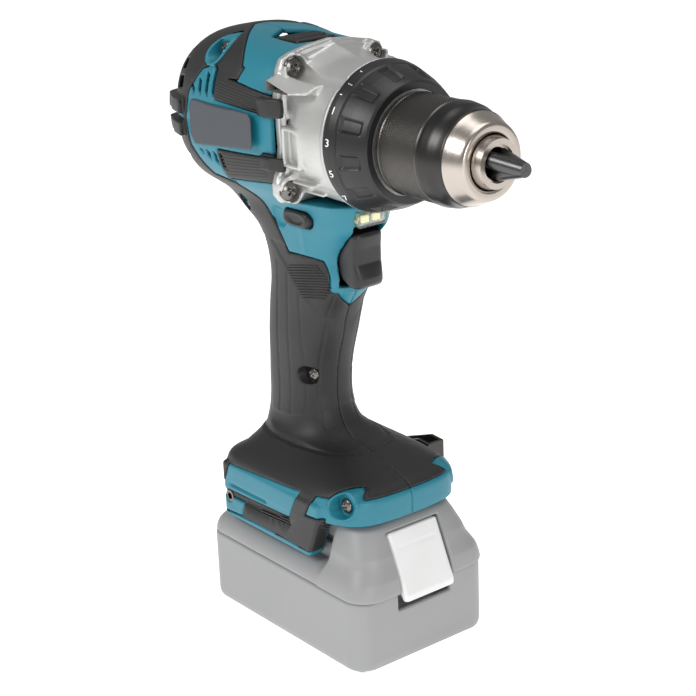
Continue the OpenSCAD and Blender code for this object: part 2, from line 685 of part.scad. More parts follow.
// The hump behind the release button, flaring down to the seam: z, front, half-width.
hump_layers = [[seam_z + 0.4, 59.5, 35.5], [44, 58.7, 34.8], [54, 55, 32.6], [61, 51.2, 30], [66.2, 48, 27.7]];
hump_corner = [[-15, 1], [-8, 0.92], [-2, 0.72], [0, 0.5]];
function hump_ring(f) = [[31.5, f[2], f[0]], [31.5, -f[2], f[0]],
  each [for (q = hump_corner) [f[1] + q[0], -f[2] * q[1], f[0]]],
  each [for (i = [3:-1:0]) [f[1] + hump_corner[i][0], f[2] * hump_corner[i][1], f[0]]]];

module pack_outer() {
  hull() {
    pack_slice(seam_z + 0.02, 5, 0);
    pack_slice(45.5, 0.3, 4);
  }
  box([-43, -tower_half_w, 45], [33, tower_half_w, 65.6]);
  loft([for (f = hump_layers) hump_ring(f)]);
}

module pack_upper_case() color("lightgray") difference() {
  pack_outer();
  pack_slice(seam_z - 1, 6.5, wall);
  box([-39, -24, seam_z + 4], [28, 24, 60]);
  for (side = [-1, 1])
    box([-50, side * tower_half_w - (side > 0 ? 3 : 2), 53.6],
        [rail_x[1] + 1, side * tower_half_w + (side > 0 ? 2 : 3), 57.4]);
  latch_pocket();
  for (y = blade_y) box([-44, y - 1.6, 58], [-14, y + 1.6, 70]);
  box([-60, -16.4, seam_z + 0.5], [-56.6, 16.4, seam_z + 7]);
}

// The catch and its button are one piece, which drops when the button is pressed.
button_side = [[50.6, 62], [62.4, 35.4], [62.4, 32.4], [60, 31.6], [53.4, 40], [42, 58], [44, 61.6]];
module latch_pocket() {
  side_prism([[34, 62.6], [34, 40], [50, 28], [70, 26], [70, 62.6]], -15.3, 15.3);
  box([38.5, -7.5, 60], [46.6, 7.5, 72]);
}

module pack_latch() color("white") {
  side_prism(button_side, -14.8, 14.8);
  box([40, -7, 50], [46, 7, 69.6]);
}

module latch_spring() color("silver") for (y = [-4, 4]) translate([43, y, 41.5]) coil(8, 1.9, 0.3, 5, 12, 5);

module pack_cells() color("steelblue") for (i = [-2:2], j = [0, 1])
  translate([18.6 * i - 2, cell_l / 2, 12.2 + 18.5 * j]) rotate([90, 0, 0]) cylinder(r = cell_r - (j == 1 ? 0.2 : 0), h = cell_l, $fn = 48);

module pack_board() color("darkgreen") box([-37, -22, 45.4], [26, 22, 47]);
module pack_contacts() color("gold") for (y = blade_y) {
  box([-32, y - 1.2, 47.1], [-18, y + 1.2, 48]);
  for (q = [-1.2, 0.7]) box([-32, y + q, 47.5], [-18, y + q + 0.5, 63]);
}

pack_screw_places = [[-51, -32], [-51, 32], [51, -32], [51, 32]];
module pack_screw_holes() for (p = pack_screw_places) translate([p[0], p[1], -1]) {
  cylinder(r = 1.6, h = 5, $fn = 24);
  cylinder(r = 3.2, h = 2.2, $fn = 24);
}
module pack_screws() color("black") for (p = pack_screw_places) translate([p[0], p[1], 2.4]) rotate([0, 0, 45])
  pan_screw(2.9, 1.2, 1.4, 8);

module gauge_panel() color("dimgray") difference() {
  box([-57.9, -16.2, seam_z + 0.7], [-56.9, 16.2, seam_z + 6.8]);
  box([-60, 6.7, seam_z + 1.6], [-50, 13.3, seam_z + 5.9]);
  for (i = [0:3]) box([-58, -13 + 4.5 * i, seam_z + 3], [-57.4, -10.6 + 4.5 * i, seam_z + 5]);
}

module gauge_button() color("black") box([-58.6, 7, seam_z + 1.9], [-57.4, 13, seam_z + 5.6]);

// ---------------------------------------------------------------- nodes

housing_right();
housing_left();
skin_right();
skin_left();
housing_screws();
rating_plate();
gear_case();
gear_case_screws();
stator_core();
stator_windings();
sensor_board();
rotor_core();
motor_shaft();
cooling_fan();
motor_bearings();
bearing_plate();
ring_gears();
planet_1a();
planet_1b();
planet_1c();
planet_carrier();
planet_2a();
planet_2b();
planet_2c();
spindle();
spindle_bearing();
clutch_spring();
clutch_ring();
chuck_body();
jaw_a();
jaw_b();
jaw_c();
chuck_nut();
chuck_sleeve();
chuck_collar();
chuck_nose();
speed_selector();
switch_body();
trigger();
direction_lever();
lamp_lens();
lamp_board();
motor_leads();
controller();
terminal_block();
hook_inserts();
belt_hook();
hook_screw();
pack_lower_case();
pack_upper_case();
pack_cells();
pack_board();
pack_contacts();
pack_screws();
pack_latch();
latch_spring();
gauge_panel();
gauge_button();
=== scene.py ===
"""Cordless hammer drill: moulded shells, rubber grip, cast gear case, keyless chuck and slide-on pack.

Fields and outlines are in millimetres, in the row's frame (+X along the chuck, +Z up).
Meshes are in metres. A field is negative inside the material, and about a distance near the surface.
"""
import math

import bpy
import numpy as np
from mathutils import Matrix, Vector


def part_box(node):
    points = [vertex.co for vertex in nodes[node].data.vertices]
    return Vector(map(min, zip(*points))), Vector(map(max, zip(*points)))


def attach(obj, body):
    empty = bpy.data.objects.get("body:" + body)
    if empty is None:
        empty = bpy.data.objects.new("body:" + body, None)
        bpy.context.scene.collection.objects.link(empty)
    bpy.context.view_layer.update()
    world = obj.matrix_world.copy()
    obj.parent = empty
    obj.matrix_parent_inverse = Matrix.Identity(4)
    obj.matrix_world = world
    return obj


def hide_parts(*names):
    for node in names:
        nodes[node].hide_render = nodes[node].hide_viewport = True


MM = 0.001
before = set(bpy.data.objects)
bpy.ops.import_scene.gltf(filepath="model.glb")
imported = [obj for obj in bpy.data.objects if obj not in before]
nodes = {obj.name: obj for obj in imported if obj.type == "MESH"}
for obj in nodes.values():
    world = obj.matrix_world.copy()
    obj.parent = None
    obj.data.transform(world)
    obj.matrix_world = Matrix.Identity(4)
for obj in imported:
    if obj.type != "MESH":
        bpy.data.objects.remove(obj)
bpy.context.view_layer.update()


def cad(node):
    """Lowest and highest corner of a CAD node, in millimetres."""
    low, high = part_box(node)
    return np.array(low) / MM, np.array(high) / MM


# ------------------------------------------------------------------ camera

VIEW_AZIMUTH = math.radians(52.08)
VIEW_HEIGHT = math.radians(19.73)
VIEW_ROLL = math.radians(-2.25)
VIEW_DISTANCE = 0.83204
VIEW_TARGET = Vector((0.00856, 0, 0.13585))
FOCAL_LENGTH = 95.01
FRAME_WIDTH = 36
FAR_CLIP = 20


def make_camera():
    data = bpy.data.cameras.new("camera")
    data.lens = FOCAL_LENGTH
    data.sensor_width = FRAME_WIDTH
    data.clip_end = FAR_CLIP
    camera = bpy.data.objects.new("camera", data)
    bpy.context.scene.collection.objects.link(camera)
    back = Vector((math.sin(VIEW_AZIMUTH) * math.cos(VIEW_HEIGHT),
                   -math.cos(VIEW_AZIMUTH) * math.cos(VIEW_HEIGHT), math.sin(VIEW_HEIGHT)))
    level = Vector((math.cos(VIEW_AZIMUTH), math.sin(VIEW_AZIMUTH), 0))
    upright = back.cross(level)
    right = level * math.cos(VIEW_ROLL) + upright * math.sin(VIEW_ROLL)
    up = upright * math.cos(VIEW_ROLL) - level * math.sin(VIEW_ROLL)
    camera.matrix_world = Matrix.Translation(VIEW_TARGET + back * VIEW_DISTANCE) @ Matrix(
        (right, up, back)).transposed().to_4x4()
    bpy.context.scene.camera = camera


make_camera()

# ------------------------------------------------------------------ sizes read from the frame

AXIS_Z = float(sum(c[2] for c in cad("rotor_core")) / 2)
RING_BACK, RING_FRONT = (float(c[0]) for c in cad("clutch_ring"))
SLEEVE_BACK, SLEEVE_FRONT = (float(c[0]) for c in cad("chuck_sleeve"))
COLLAR_FRONT = float(cad("chuck_collar")[1][0])
CONE_FRONT = float(cad("chuck_nose")[1][0])
SLEEVE_R = float(cad("chuck_sleeve")[1][1])
RING_R = float(cad("clutch_ring")[1][1])
PACK_LOW, PACK_HIGH = cad("pack_lower_case")
SEAM_Z = float(PACK_HIGH[2])
LEVER_X, LEVER_Z = (float(v) for v in (sum(cad("direction_lever")) / 2)[[0, 2]])
FLANGE_X = 2.0          # where the shells end and the gear case begins
WALL = 2.6              # thickness of the moulded walls
JOINT_GAP = 0.12        # half the gap between the plastic and the rubber
SEAM_GAP = 0.04         # half the gap between the two shells
FAR = 1e3               # a distance larger than the tool
STEP = 0.72   # spacing of the grid that fields are meshed on

# ------------------------------------------------------------------ shader maths


class Val:
    """A shader socket that adds Math nodes when it is used in an expression."""

    def __init__(self, shader, socket):
        self.shader = shader
        self.socket = socket

    def math(self, operation, *others):
        return self.shader.node("ShaderNodeMath", {"operation": operation}, self, *others)

    def __add__(self, other):
        return self.math("ADD", other)

    def __sub__(self, other):
        return self.math("SUBTRACT", other)

    def __rsub__(self, other):
        return self.shader.node("ShaderNodeMath", {"operation": "SUBTRACT"}, other, self)

    def __mul__(self, other):
        return self.math("MULTIPLY", other)

    def __gt__(self, other):
        return self.math("GREATER_THAN", other)

    __radd__ = __add__
    __rmul__ = __mul__


class Shader:
    """A material whose nodes are made by one method."""

    def __init__(self, name, **constants):
        self.material = bpy.data.materials.new(name)
        self.material.use_nodes = True
        self.tree = self.material.node_tree
        self.surface = self.tree.nodes["Principled BSDF"]
        for socket, value in constants.items():
            self.set(socket.replace("_", " "), value)

    def node(self, kind, settings, *values, pick=0, **named):
        made = self.tree.nodes.new(kind)
        for key, value in settings.items():
            setattr(made, key, value)
        for place, value in list(enumerate(values)) + [(k.replace("_", " "), v) for k, v in named.items()]:
            self.join(made.inputs[place], value)
        return Val(self, made.outputs[pick])

    def join(self, socket, value):
        if isinstance(value, Val):
            self.tree.links.new(value.socket, socket)
        elif hasattr(value, "__len__") and len(value) == 3 and socket.type == "RGBA":
            socket.default_value = (*value, 1)
        else:
            socket.default_value = value

    def set(self, socket, value):
        self.join(self.surface.inputs[socket], value)

    def place(self):
        """Object coordinates."""
        return self.node("ShaderNodeTexCoord", {}, pick=3)

    def scaled(self, x, y, z):
        return self.node("ShaderNodeMapping", {}, Vector=self.place(), Scale=(x, y, z))

    def noise(self, size, detail=2.0, rough=0.5, where=None):
        """Noise whose blots are about size metres across."""
        return self.node("ShaderNodeTexNoise", {}, Vector=where or self.place(), Scale=1 / size,
                         Detail=detail, Roughness=rough)

    def mix(self, share, a, b):
        made = self.tree.nodes.new("ShaderNodeMix")
        made.data_type = "RGBA"
        self.join(made.inputs["Factor"], share)
        self.join([s for s in made.inputs if s.name == "A" and s.type == "RGBA"][0], a)
        self.join([s for s in made.inputs if s.name == "B" and s.type == "RGBA"][0], b)
        return Val(self, [s for s in made.outputs if s.type == "RGBA"][0])

    def bump(self, height, depth, strength=1.0):
        self.set("Normal", self.node("ShaderNodeBump", {}, Height=height, Distance=depth, Strength=strength))


def shade(colour, share):
    """A colour made darker or lighter."""
    return tuple(min(1, c * share) for c in colour)


def moulded(name, colour, rough, grain, depth, gloss_spread=0.06, blot=0.03, **constants):
    """Moulded plastic or rubber: spark-eroded grain, with slow changes in tone and gloss."""
    m = Shader(name, **constants)
    slow = m.noise(blot, 3)
    m.set("Base Color", m.mix(slow, shade(colour, 0.92), shade(colour, 1.08)))
    m.set("Roughness", m.noise(blot * 0.7, 2) * gloss_spread + (rough - gloss_spread / 2))
    m.bump(m.noise(grain, 2, 0.6), depth)
    return m.material


def metal(name, colour, rough, where=(1, 1, 1), grain=0.0004, depth=0.00001, spread=0.08, **constants):
    """Bare metal: grain or tool marks stretched along one way, and uneven gloss."""
    m = Shader(name, Metallic=1.0, **constants)
    marks = m.noise(grain, 3, 0.6, m.scaled(*where))
    m.set("Base Color", m.mix(marks, shade(colour, 0.9), shade(colour, 1.06)))
    m.set("Roughness", marks * spread + (rough - spread / 2))
    m.bump(marks, depth)
    return m.material


def cast_alloy():
    """Blasted die casting: grey sparkle, a little soft blotching."""
    m = Shader("cast alloy", Metallic=0.72)
    speck = m.noise(0.00035, 3, 0.7)
    cloud = m.noise(0.012, 3)
    m.set("Base Color", m.mix(speck * 0.7 + cloud * 0.3, (0.36, 0.36, 0.35), (0.72, 0.72, 0.70)))
    m.set("Roughness", speck * 0.18 + 0.33)
    m.bump(speck, 0.00006)
    return m.material


def laminations():
    m = Shader("laminations", Metallic=0.8)
    sheets = m.node("ShaderNodeTexWave", {"bands_direction": "X"}, Vector=m.place(), Scale=320.0)
    m.set("Base Color", m.mix(sheets, (0.12, 0.12, 0.13), (0.34, 0.34, 0.35)))
    m.set("Roughness", sheets * 0.2 + 0.3)
    return m.material


def winding_copper():
    m = Shader("enamelled copper", Metallic=0.9)
    turns = m.node("ShaderNodeTexWave", {"bands_direction": "Y"}, Vector=m.place(), Scale=180.0,
                   Distortion=1.0)
    m.set("Base Color", m.mix(turns, (0.30, 0.10, 0.03), (0.78, 0.36, 0.15)))
    m.set("Roughness", turns * 0.2 + 0.25)
    m.bump(turns, 0.0002)
    return m.material


def circuit_board():
    m = Shader("circuit board", Coat_Weight=0.4)
    pads = m.node("ShaderNodeTexVoronoi", {}, Vector=m.place(), Scale=420.0)
    m.set("Base Color", m.mix(1 - (pads > 0.35), (0.01, 0.12, 0.05), (0.50, 0.42, 0.18)))
    m.set("Roughness", pads * 0.3 + 0.25)
    return m.material


def clear_lens():
    m = Shader("clear lens", IOR=1.49, Coat_Weight=0.5)
    m.set("Base Color", (0.93, 0.95, 0.97))
    m.set("Roughness", m.noise(0.004) * 0.08)
    m.set("Alpha", m.noise(0.006) * 0.08 + 0.06)
    return m.material


def lamp_phosphor():
    m = Shader("lamp phosphor", Emission_Strength=0.25)
    spot = m.noise(0.0008)
    m.set("Base Color", m.mix(spot, (0.78, 0.62, 0.22), (0.92, 0.82, 0.42)))
    m.set("Emission Color", m.mix(spot, (0.8, 0.6, 0.2), (0.9, 0.8, 0.4)))
    m.set("Roughness", spot * 0.2 + 0.4)
    return m.material


def white_ink():
    m = Shader("white ink")
    worn = m.noise(0.0006, 3)
    m.set("Base Color", m.mix(worn, (0.78, 0.78, 0.76), (0.95, 0.95, 0.94)))
    m.set("Roughness", worn * 0.2 + 0.4)
    return m.material


def studio_floor():
    m = Shader("studio floor", Roughness=0.9, Emission_Strength=0.75)
    m.set("Base Color", m.mix(m.noise(0.4), (0.93, 0.93, 0.93), (0.96, 0.96, 0.96)))
    m.set("Emission Color", m.mix(m.noise(0.4), (0.98, 0.98, 0.98), (1, 1, 1)))
    return m.material


TEAL = moulded("teal nylon", (0.010, 0.175, 0.240), 0.42, 0.00025, 0.00002, IOR=1.5)
RUBBER = moulded("rubber skin", (0.0125, 0.0118, 0.0115), 0.5, 0.00022, 0.00005, 0.1)
BLACK = moulded("black nylon", (0.010, 0.010, 0.0105), 0.42, 0.00028, 0.00003)
TRIGGER_BLACK = moulded("trigger nylon", (0.0095, 0.0092, 0.0095), 0.36, 0.0004, 0.00003)
RING_BLACK = moulded("torque ring nylon", (0.0075, 0.0072, 0.008), 0.38, 0.00035, 0.00003)
PLATE = moulded("plate film", (0.042, 0.048, 0.058), 0.45, 0.0005, 0.00001)
PACK_GREY = moulded("pack plastic", (0.29, 0.29, 0.293), 0.45, 0.0004, 0.00003, blot=0.05)
WHITE = moulded("button plastic", (0.74, 0.74, 0.735), 0.38, 0.0005, 0.00002)
GAUGE = moulded("gauge film", (0.05, 0.05, 0.055), 0.25, 0.001, 0.000005)
CELL_WRAP = moulded("cell wrap", (0.08, 0.22, 0.42), 0.3, 0.002, 0.00002)
WIRE = moulded("wire insulation", (0.30, 0.02, 0.02), 0.4, 0.001, 0.00002)
CAST = cast_alloy()
CHUCK_STEEL = metal("satin chuck steel", (0.47, 0.42, 0.375), 0.26, (1, 0.02, 0.02), 0.0002)
BLACK_STEEL = metal("blackened steel", (0.055, 0.053, 0.052), 0.34, (1, 0.05, 0.05), 0.0003)
KNURL_STEEL = metal("knurled steel", (0.10, 0.095, 0.088), 0.3)
JAW_STEEL = metal("ground jaw steel", (0.10, 0.10, 0.10), 0.3, (0.05, 1, 1), 0.0003)
DARK_SCREW = metal("dark plated screw", (0.17, 0.16, 0.15), 0.24, grain=0.002)
BRIGHT_STEEL = metal("bright steel", (0.62, 0.62, 0.62), 0.3)
GEAR_STEEL = metal("gear steel", (0.36, 0.37, 0.39), 0.32)
HOOK_STEEL = metal("painted hook steel", (0.07, 0.068, 0.065), 0.38, grain=0.001)
BRASS = metal("brass", (0.78, 0.58, 0.22), 0.3)
LAMINATED = laminations()
COPPER = winding_copper()
BOARD = circuit_board()
LENS = clear_lens()
PHOSPHOR = lamp_phosphor()
INK = white_ink()

# ------------------------------------------------------------------ fields


def smooth_max(a, b, k):
    """The larger of two fields, with the crease between them rounded over a width k."""
    h = np.maximum(k - np.abs(a - b), 0) / k
    return np.maximum(a, b) + h * h * (k / 4)


def smooth_min(a, b, k):
    return -smooth_max(-a, -b, k)


def cut(solid, tool, k=0.5):
    """A solid less a tool, with its new edge eased by k."""
    return smooth_max(solid, -tool, k)


def block(x, y, z, low, high, r=0.0):
    """A box with edges rounded to r."""
    over = [np.abs(p - (a + b) / 2) - (b - a) / 2 + r for p, a, b in zip((x, y, z), low, high)]
    outside = np.sqrt(sum(np.maximum(q, 0) ** 2 for q in over))
    return outside + np.minimum(np.maximum(np.maximum(over[0], over[1]), over[2]), 0) - r


def outline_field(u, v, points, r=0.0):
    """Signed distance to a closed outline of [u, v] points, rounded outwards by r."""
    pts = np.asarray(points, float)
    u, v = np.broadcast_arrays(u, v)
    best = np.full(u.shape, FAR * FAR, np.float32)
    inside = np.zeros(u.shape, bool)
    for (ax, ay), (bx, by) in zip(pts, np.roll(pts, -1, axis=0)):
        ex, ey = bx - ax, by - ay
        t = np.clip(((u - ax) * ex + (v - ay) * ey) / (ex * ex + ey * ey), 0, 1)
        best = np.minimum(best, (u - ax - t * ex) ** 2 + (v - ay - t * ey) ** 2)
        if ay != by:
            crosses = ((v >= ay) != (v >= by)) & (u < ax + (v - ay) / ey * ex)
            inside ^= crosses
    return np.sqrt(best) * np.where(inside, -1, 1) - r


def rod(u, v, cu, cv, r):
    """An endless round bar of radius r through (cu, cv)."""
    return np.sqrt((u - cu) ** 2 + (v - cv) ** 2) - r


def between(w, low, high):
    """An endless slab from low to high."""
    return np.abs(w - (low + high) / 2) - (high - low) / 2


def through(stations, column, at):
    """A smooth curve through one column of a station table."""
    s = np.asarray(stations, float)
    xs, ys = s[:, 0], s[:, column]
    slopes = np.gradient(ys, xs)
    rise = np.diff(ys) / np.diff(xs)
    slopes[1:-1] = np.where(rise[1:] * rise[:-1] <= 0, 0, slopes[1:-1])
    at = np.clip(at, xs[0], xs[-1])
    i = np.clip(np.searchsorted(xs, at) - 1, 0, len(xs) - 2)
    h = xs[i + 1] - xs[i]
    t = (at - xs[i]) / h
    a = ys[i] * (1 + 2 * t) * (1 - t) ** 2 + ys[i + 1] * t * t * (3 - 2 * t)
    return a + h * (slopes[i] * t * (1 - t) ** 2 + slopes[i + 1] * t * t * (t - 1))


def levelled(field, x, y, z, axis):
    """A loft's radial distance, divided by its slope along the loft."""
    value, nudge = field(x, y, z), 0.25
    ahead = field(x + nudge, y, z) if axis == 0 else field(x, y, z + nudge)
    slope = (ahead - value) / nudge
    return value / np.sqrt(1 + slope * slope)


# Motor housing: x, half-width, height over the axis, depth under it, squareness.
HEAD = [[-78, 18, 16, 15, 2.4], [-75, 26, 23.5, 21, 2.5], [-69, 32, 30.5, 27.5, 2.6],
        [-61, 35.4, 35.4, 32.5, 2.7],
        [-50, 37, 38, 34.6, 2.8], [-36, 37.2, 38.4, 35, 2.8], [-18, 36, 37, 33.4, 2.8],
        [-6, 34.2, 36.5, 31.6, 2.9], [FLANGE_X, 32.2, 36.4, 30.6, 3]]
# Grip: z, middle x, half-depth, half-width, squareness.
GRIP = [[84, -13.5, 32, 24.4, 2.8], [90, -16, 27, 20.8, 2.7], [97, -18.8, 22.8, 18, 2.6],
        [104, -20.2, 20.8, 16.7, 2.5], [112, -20.6, 19.8, 16.4, 2.5], [126, -19.4, 19.9, 16.8, 2.5],
        [142, -16.4, 21.8, 17.5, 2.5], [156, -12.9, 23.4, 17.5, 2.5], [164, -10, 25.2, 17.5, 2.5],
        [171, -8.8, 26.8, 17.5, 2.5], [182, -10.4, 28, 17.9, 2.5], [190, -10.6, 34, 18.5, 2.6],
        [196.5, -12.6, 42, 19.3, 2.8], [203, -15, 45.6, 20.5, 3], [212, -16, 48, 24, 3]]
# Foot: z, back, front, half-width; and its plan in shares of depth and width.
FOOT = [[66.8, -52, 51, 38], [76, -50.6, 51, 37.6], [80, -48.4, 50, 36.2], [82.6, -44, 47, 33.6],
        [86.5, -37, 36, 27.6], [90.5, -29, 22, 19]]
FOOT_PLAN = [[-1, 0], [-1, 0.56], [-0.93, 0.86], [-0.78, 1], [0.5, 1], [0.72, 0.93], [0.95, 0.7], [1, 0.5],
             [1, 0]]


def gauge(u, v, n):
    """Distance from a superellipse along the ray from its middle; u and v are (offset, half-size) pairs."""
    (du, a), (dv, b) = u, v
    share = ((np.abs(du) / a) ** n + (np.abs(dv) / b) ** n) ** (1 / n)
    return np.sqrt(du * du + dv * dv) * (1 - 1 / np.maximum(share, 0.05))


def head_loft(x, y, z):
    a, up, down, n = (through(HEAD, c, x) for c in (1, 2, 3, 4))
    over = z - AXIS_Z
    return gauge((y, a), (over, np.where(over > 0, up, down)), n)


def head(x, y, z):
    ends = np.maximum(HEAD[0][0] - x, x - FLANGE_X - 20)
    return smooth_max(levelled(head_loft, x, y, z, 0), ends, 3)


def grip_loft(x, y, z):
    middle, deep, wide, n = (through(GRIP, c, z) for c in (1, 2, 3, 4))
    return gauge((x - middle, deep), (y, wide), n)


def grip(x, y, z):
    ends = np.maximum(GRIP[0][0] - z, z - GRIP[-1][0])
    return np.maximum(levelled(grip_loft, x, y, z, 2), ends)


def foot_loft(x, y, z):
    back, front, wide = (through(FOOT, c, z) for c in (1, 2, 3))
    middle, deep = (back + front) / 2, (front - back) / 2
    sides = None
    for (ua, va), (ub, vb) in zip(FOOT_PLAN, FOOT_PLAN[1:]):
        along, across = (ub - ua) * deep, (vb - va) * wide
        span = np.sqrt(along * along + across * across)
        side = ((np.abs(y) - va * wide) * along - (x - middle - ua * deep) * across) / span
        sides = side if sides is None else smooth_max(sides, side, 5)
    return sides


def foot(x, y, z):
    ends = np.maximum(FOOT[0][0] - z, z - FOOT[-1][0])
    return smooth_max(levelled(foot_loft, x, y, z, 2), ends, 1.5)


RAIL_LOW, RAIL_HIGH = (-43, 28.9, 48.5), (22.5, 37.9, 76)


def rails(x, y, z):
    """The two skirts beside the pack; their front ends slope forwards as they rise."""
    lean = (z - RAIL_LOW[2]) * 0.4
    return block(x - np.clip(lean, 0, 8) * (x > 0), np.abs(y), z, RAIL_LOW, RAIL_HIGH, 1.6)


def body(x, y, z):
    """The tool's outer form."""
    whole = smooth_min(head(x, y, z), grip(x, y, z), 8)
    whole = smooth_min(whole, foot(x, y, z), 7)
    return smooth_min(whole, rails(x, y, z), 1.2)


# ---- where the rubber lies, as side outlines of [x, z]

NECK_ZONE = [[-90, 219], [-58, 214], [-36, 206], [-24, 206], [-8.6, 181.6], [16.6, 183], [18.6, 181],
             [22.5, 174],
             [28, 169.4], [34, 168], [40, 169.6], [48, 168], [48, 95], [70, 95], [70, 80], [-70, 80],
             [-62, 90],
             [-75, 160]]
REAR_ZONE = [[-90, 290], [-12, 290], [-15, 279], [-16.7, 276], [-15.3, 271], [-19, 260], [-32, 259.5],
             [-37, 264],
             [-44, 262], [-53, 251], [-56.5, 238], [-54, 226], [-43, 214], [-30, 212], [-24, 206], [-90, 190]]
BAND_ZONES = [[[-33, 261], [-22, 259.5], [1.9, 255.5], [12, 255.2], [12, 246], [-33, 250]],
              [[-33, 228], [-5, 228.6], [-3, 230.4], [1.9, 230], [12, 229.6], [12, 222.4], [1.9, 216.4],
               [-33, 213.5]]]
TOP_PANEL = [[-46, 0], [-45, 4], [-19, 30], [20, 36], [20, 0]]      # teal seen from above, [x, |y|]
FOOT_ZONE = [[-70, 84], [27.6, 84], [26.9, 80], [21, 69], [32.4, 70], [24.5, 51.2], [-6, 51.8], [-33, 51],
             [-70, 47]]
FOOT_PANELS = [[[-36, 77.4], [15.6, 78.7], [8.3, 64.5], [-42.7, 62.8]],
               [[-45, 58], [-27.5, 58.2], [-29.5, 52.4], [-47, 51.4]]]
SPINE_HALF_W = 2.4      # teal stripe down the back of the grip
FLAT_Y, SLANT_X, SLANT_Z = 17.5, 1.351, 0.63   # outlines are drawn at this width and carried in along a slant


def rubber_zone(x, y, z):
    """Negative where the surface is rubber."""
    wide = np.abs(y)
    fall = np.maximum(FLAT_Y - wide, 0) * np.clip((z - 140) / 10, 0, 1) * np.clip((x + 20) / 8, 0, 1)
    neck = outline_field(x + SLANT_X * fall, z + SLANT_Z * fall, NECK_ZONE)
    rear = np.maximum(outline_field(x, z, REAR_ZONE),
                      -np.maximum(outline_field(x, wide, TOP_PANEL), AXIS_Z + 26 - z))
    zone = np.minimum(neck, rear)
    for band in BAND_ZONES:
        zone = np.minimum(zone, outline_field(x, z, band))
    rim = np.maximum(outline_field(x, z, TRIGGER_GAP, 0.3) - 3, wide - 11.7)
    zone = np.maximum(zone, -rim)
    spine = np.maximum(wide - SPINE_HALF_W, np.maximum(x + 22, between(z, 97, 178)))
    zone = np.maximum(zone, -spine)
    zone = np.maximum(zone, -rear_stripe(x, z))
    flank = np.maximum(outline_field(x, z, FOOT_ZONE), 30 - wide)
    flank = np.minimum(flank, np.maximum(x + 47, z - 84))
    for panel in FOOT_PANELS:
        flank = np.maximum(flank, -outline_field(x, z, panel, 0.8))
    top = 78.6 + 0.055 * (x - 15) - z
    return np.minimum(zone, np.minimum(flank, np.maximum(top, z - 97)))


def rear_stripe(x, z):
    return np.maximum(x + 59, between(z - AXIS_Z, -1.7, 0.9))


# ---- openings

UPPER_SLOTS = [(-49.4 + 5.1 * i, AXIS_Z + 12.2, AXIS_Z + 15.5 + 3.2 * i) for i in range(4)]
LOWER_SLOTS = [(-45.6 + 5 * i, AXIS_Z - 14.5 - 1.8 * i, AXIS_Z - 13) for i in range(4)]
REAR_VENTS = (24, 37, 50, -30)          # degrees above the axis, round the back
# Screws in the right shell: x, z, depth of the recess from the middle plane, its radius.
SCREW_SEATS = [(-5.5, 122.2, 9, 4.4), (-39.5, 269.6, 23, 4.9), (40, 77, 28, 5.4), (-40, 199, 14, 4.2)]
GRIP_SEAT, HEAD_SEAT, FOOT_SEAT, NECK_SEAT = SCREW_SEATS
TRIGGER_GAP = [[6, 196.2], [60, 196.2], [60, 168], [40, 167], [24, 167.2], [15, 168.1], [9, 171], [6, 175.3]]
LAMP_GAP = [[24, 205.2], [60, 205.2], [60, 196.6], [24, 196.6]]
SELECTOR_GAP = [[-28.5, 0], [-21.5, 11.4], [-3.5, 11.4], [3.5, 0]]


def vent_cells(x, y, z):
    """The slanted slots in each flank and the cells round the back."""
    gap = np.full(np.broadcast(x, y, z).shape, FAR)
    for sx, low, high in UPPER_SLOTS + LOWER_SLOTS:
        slot = np.maximum(between(x, sx - 1.3, sx + 1.3), between(z + (x - sx) * 0.7, low, high))
        gap = np.minimum(gap, np.maximum(slot, 27 - np.abs(y)))
    for angle in REAR_VENTS:
        rise, run = math.sin(math.radians(angle)), math.cos(math.radians(angle))
        out = np.abs(y) * run + (z - AXIS_Z) * rise
        along = (z - AXIS_Z) * run - np.abs(y) * rise
        gap = np.minimum(gap, block(x, along, out, (-65.5, -2.6, 16), (-59, 2.6, 60), 0.6))
    return gap


def pack_bay(x, y, z):
    """Room for the pack's tower, its rails, its sloping front and its catch."""
    wide = np.abs(y)
    bay = np.maximum(np.maximum(wide - 28, z - 66.5), -44 - x)
    bay = np.maximum(bay, -np.maximum(between(z, 54, 57), np.maximum(25 - wide, x - 26)))
    ahead = np.maximum(31.5 - x, np.maximum(z - 68, wide - 60))
    catch = block(x, y, z, (34, -9, 60), (47.4, 9, 70.7))
    return np.minimum(np.minimum(bay, ahead), catch)


def openings(x, y, z, side):
    """What both the plastic and the rubber leave free."""
    wide = np.abs(y)
    gap = np.maximum(outline_field(x, z, TRIGGER_GAP, 0.3), wide - 8.7)
    lever = np.sqrt(np.maximum(np.abs(x - LEVER_X) - 5.4, 0) ** 2 + (z - LEVER_Z) ** 2) - 4
    gap = np.minimum(gap, lever)
    gap = np.minimum(gap, np.maximum(outline_field(x, z, LAMP_GAP), wide - 9.2))
    selector = np.maximum(outline_field(x, wide, SELECTOR_GAP, 0.6), AXIS_Z + 31 - z)
    gap = np.minimum(gap, selector)
    for sx, sz, depth, r in SCREW_SEATS:
        gap = np.minimum(gap, rod(x, z, sx, sz, 1.8))
        if side < 0:
            gap = np.minimum(gap, np.maximum(rod(x, z, sx, sz, r), depth - wide))
    gap = np.minimum(gap, np.maximum(rod(x, z, -39, 58.5, 2.9), 25 - wide))
    gap = np.minimum(gap, vent_cells(x, y, z))
    gap = np.minimum(gap, pack_bay(x, y, z))
    flange = np.maximum(np.maximum(FLANGE_X - x, wide - 33.5), AXIS_Z - 31.2 - z)
    return np.minimum(gap, flange)


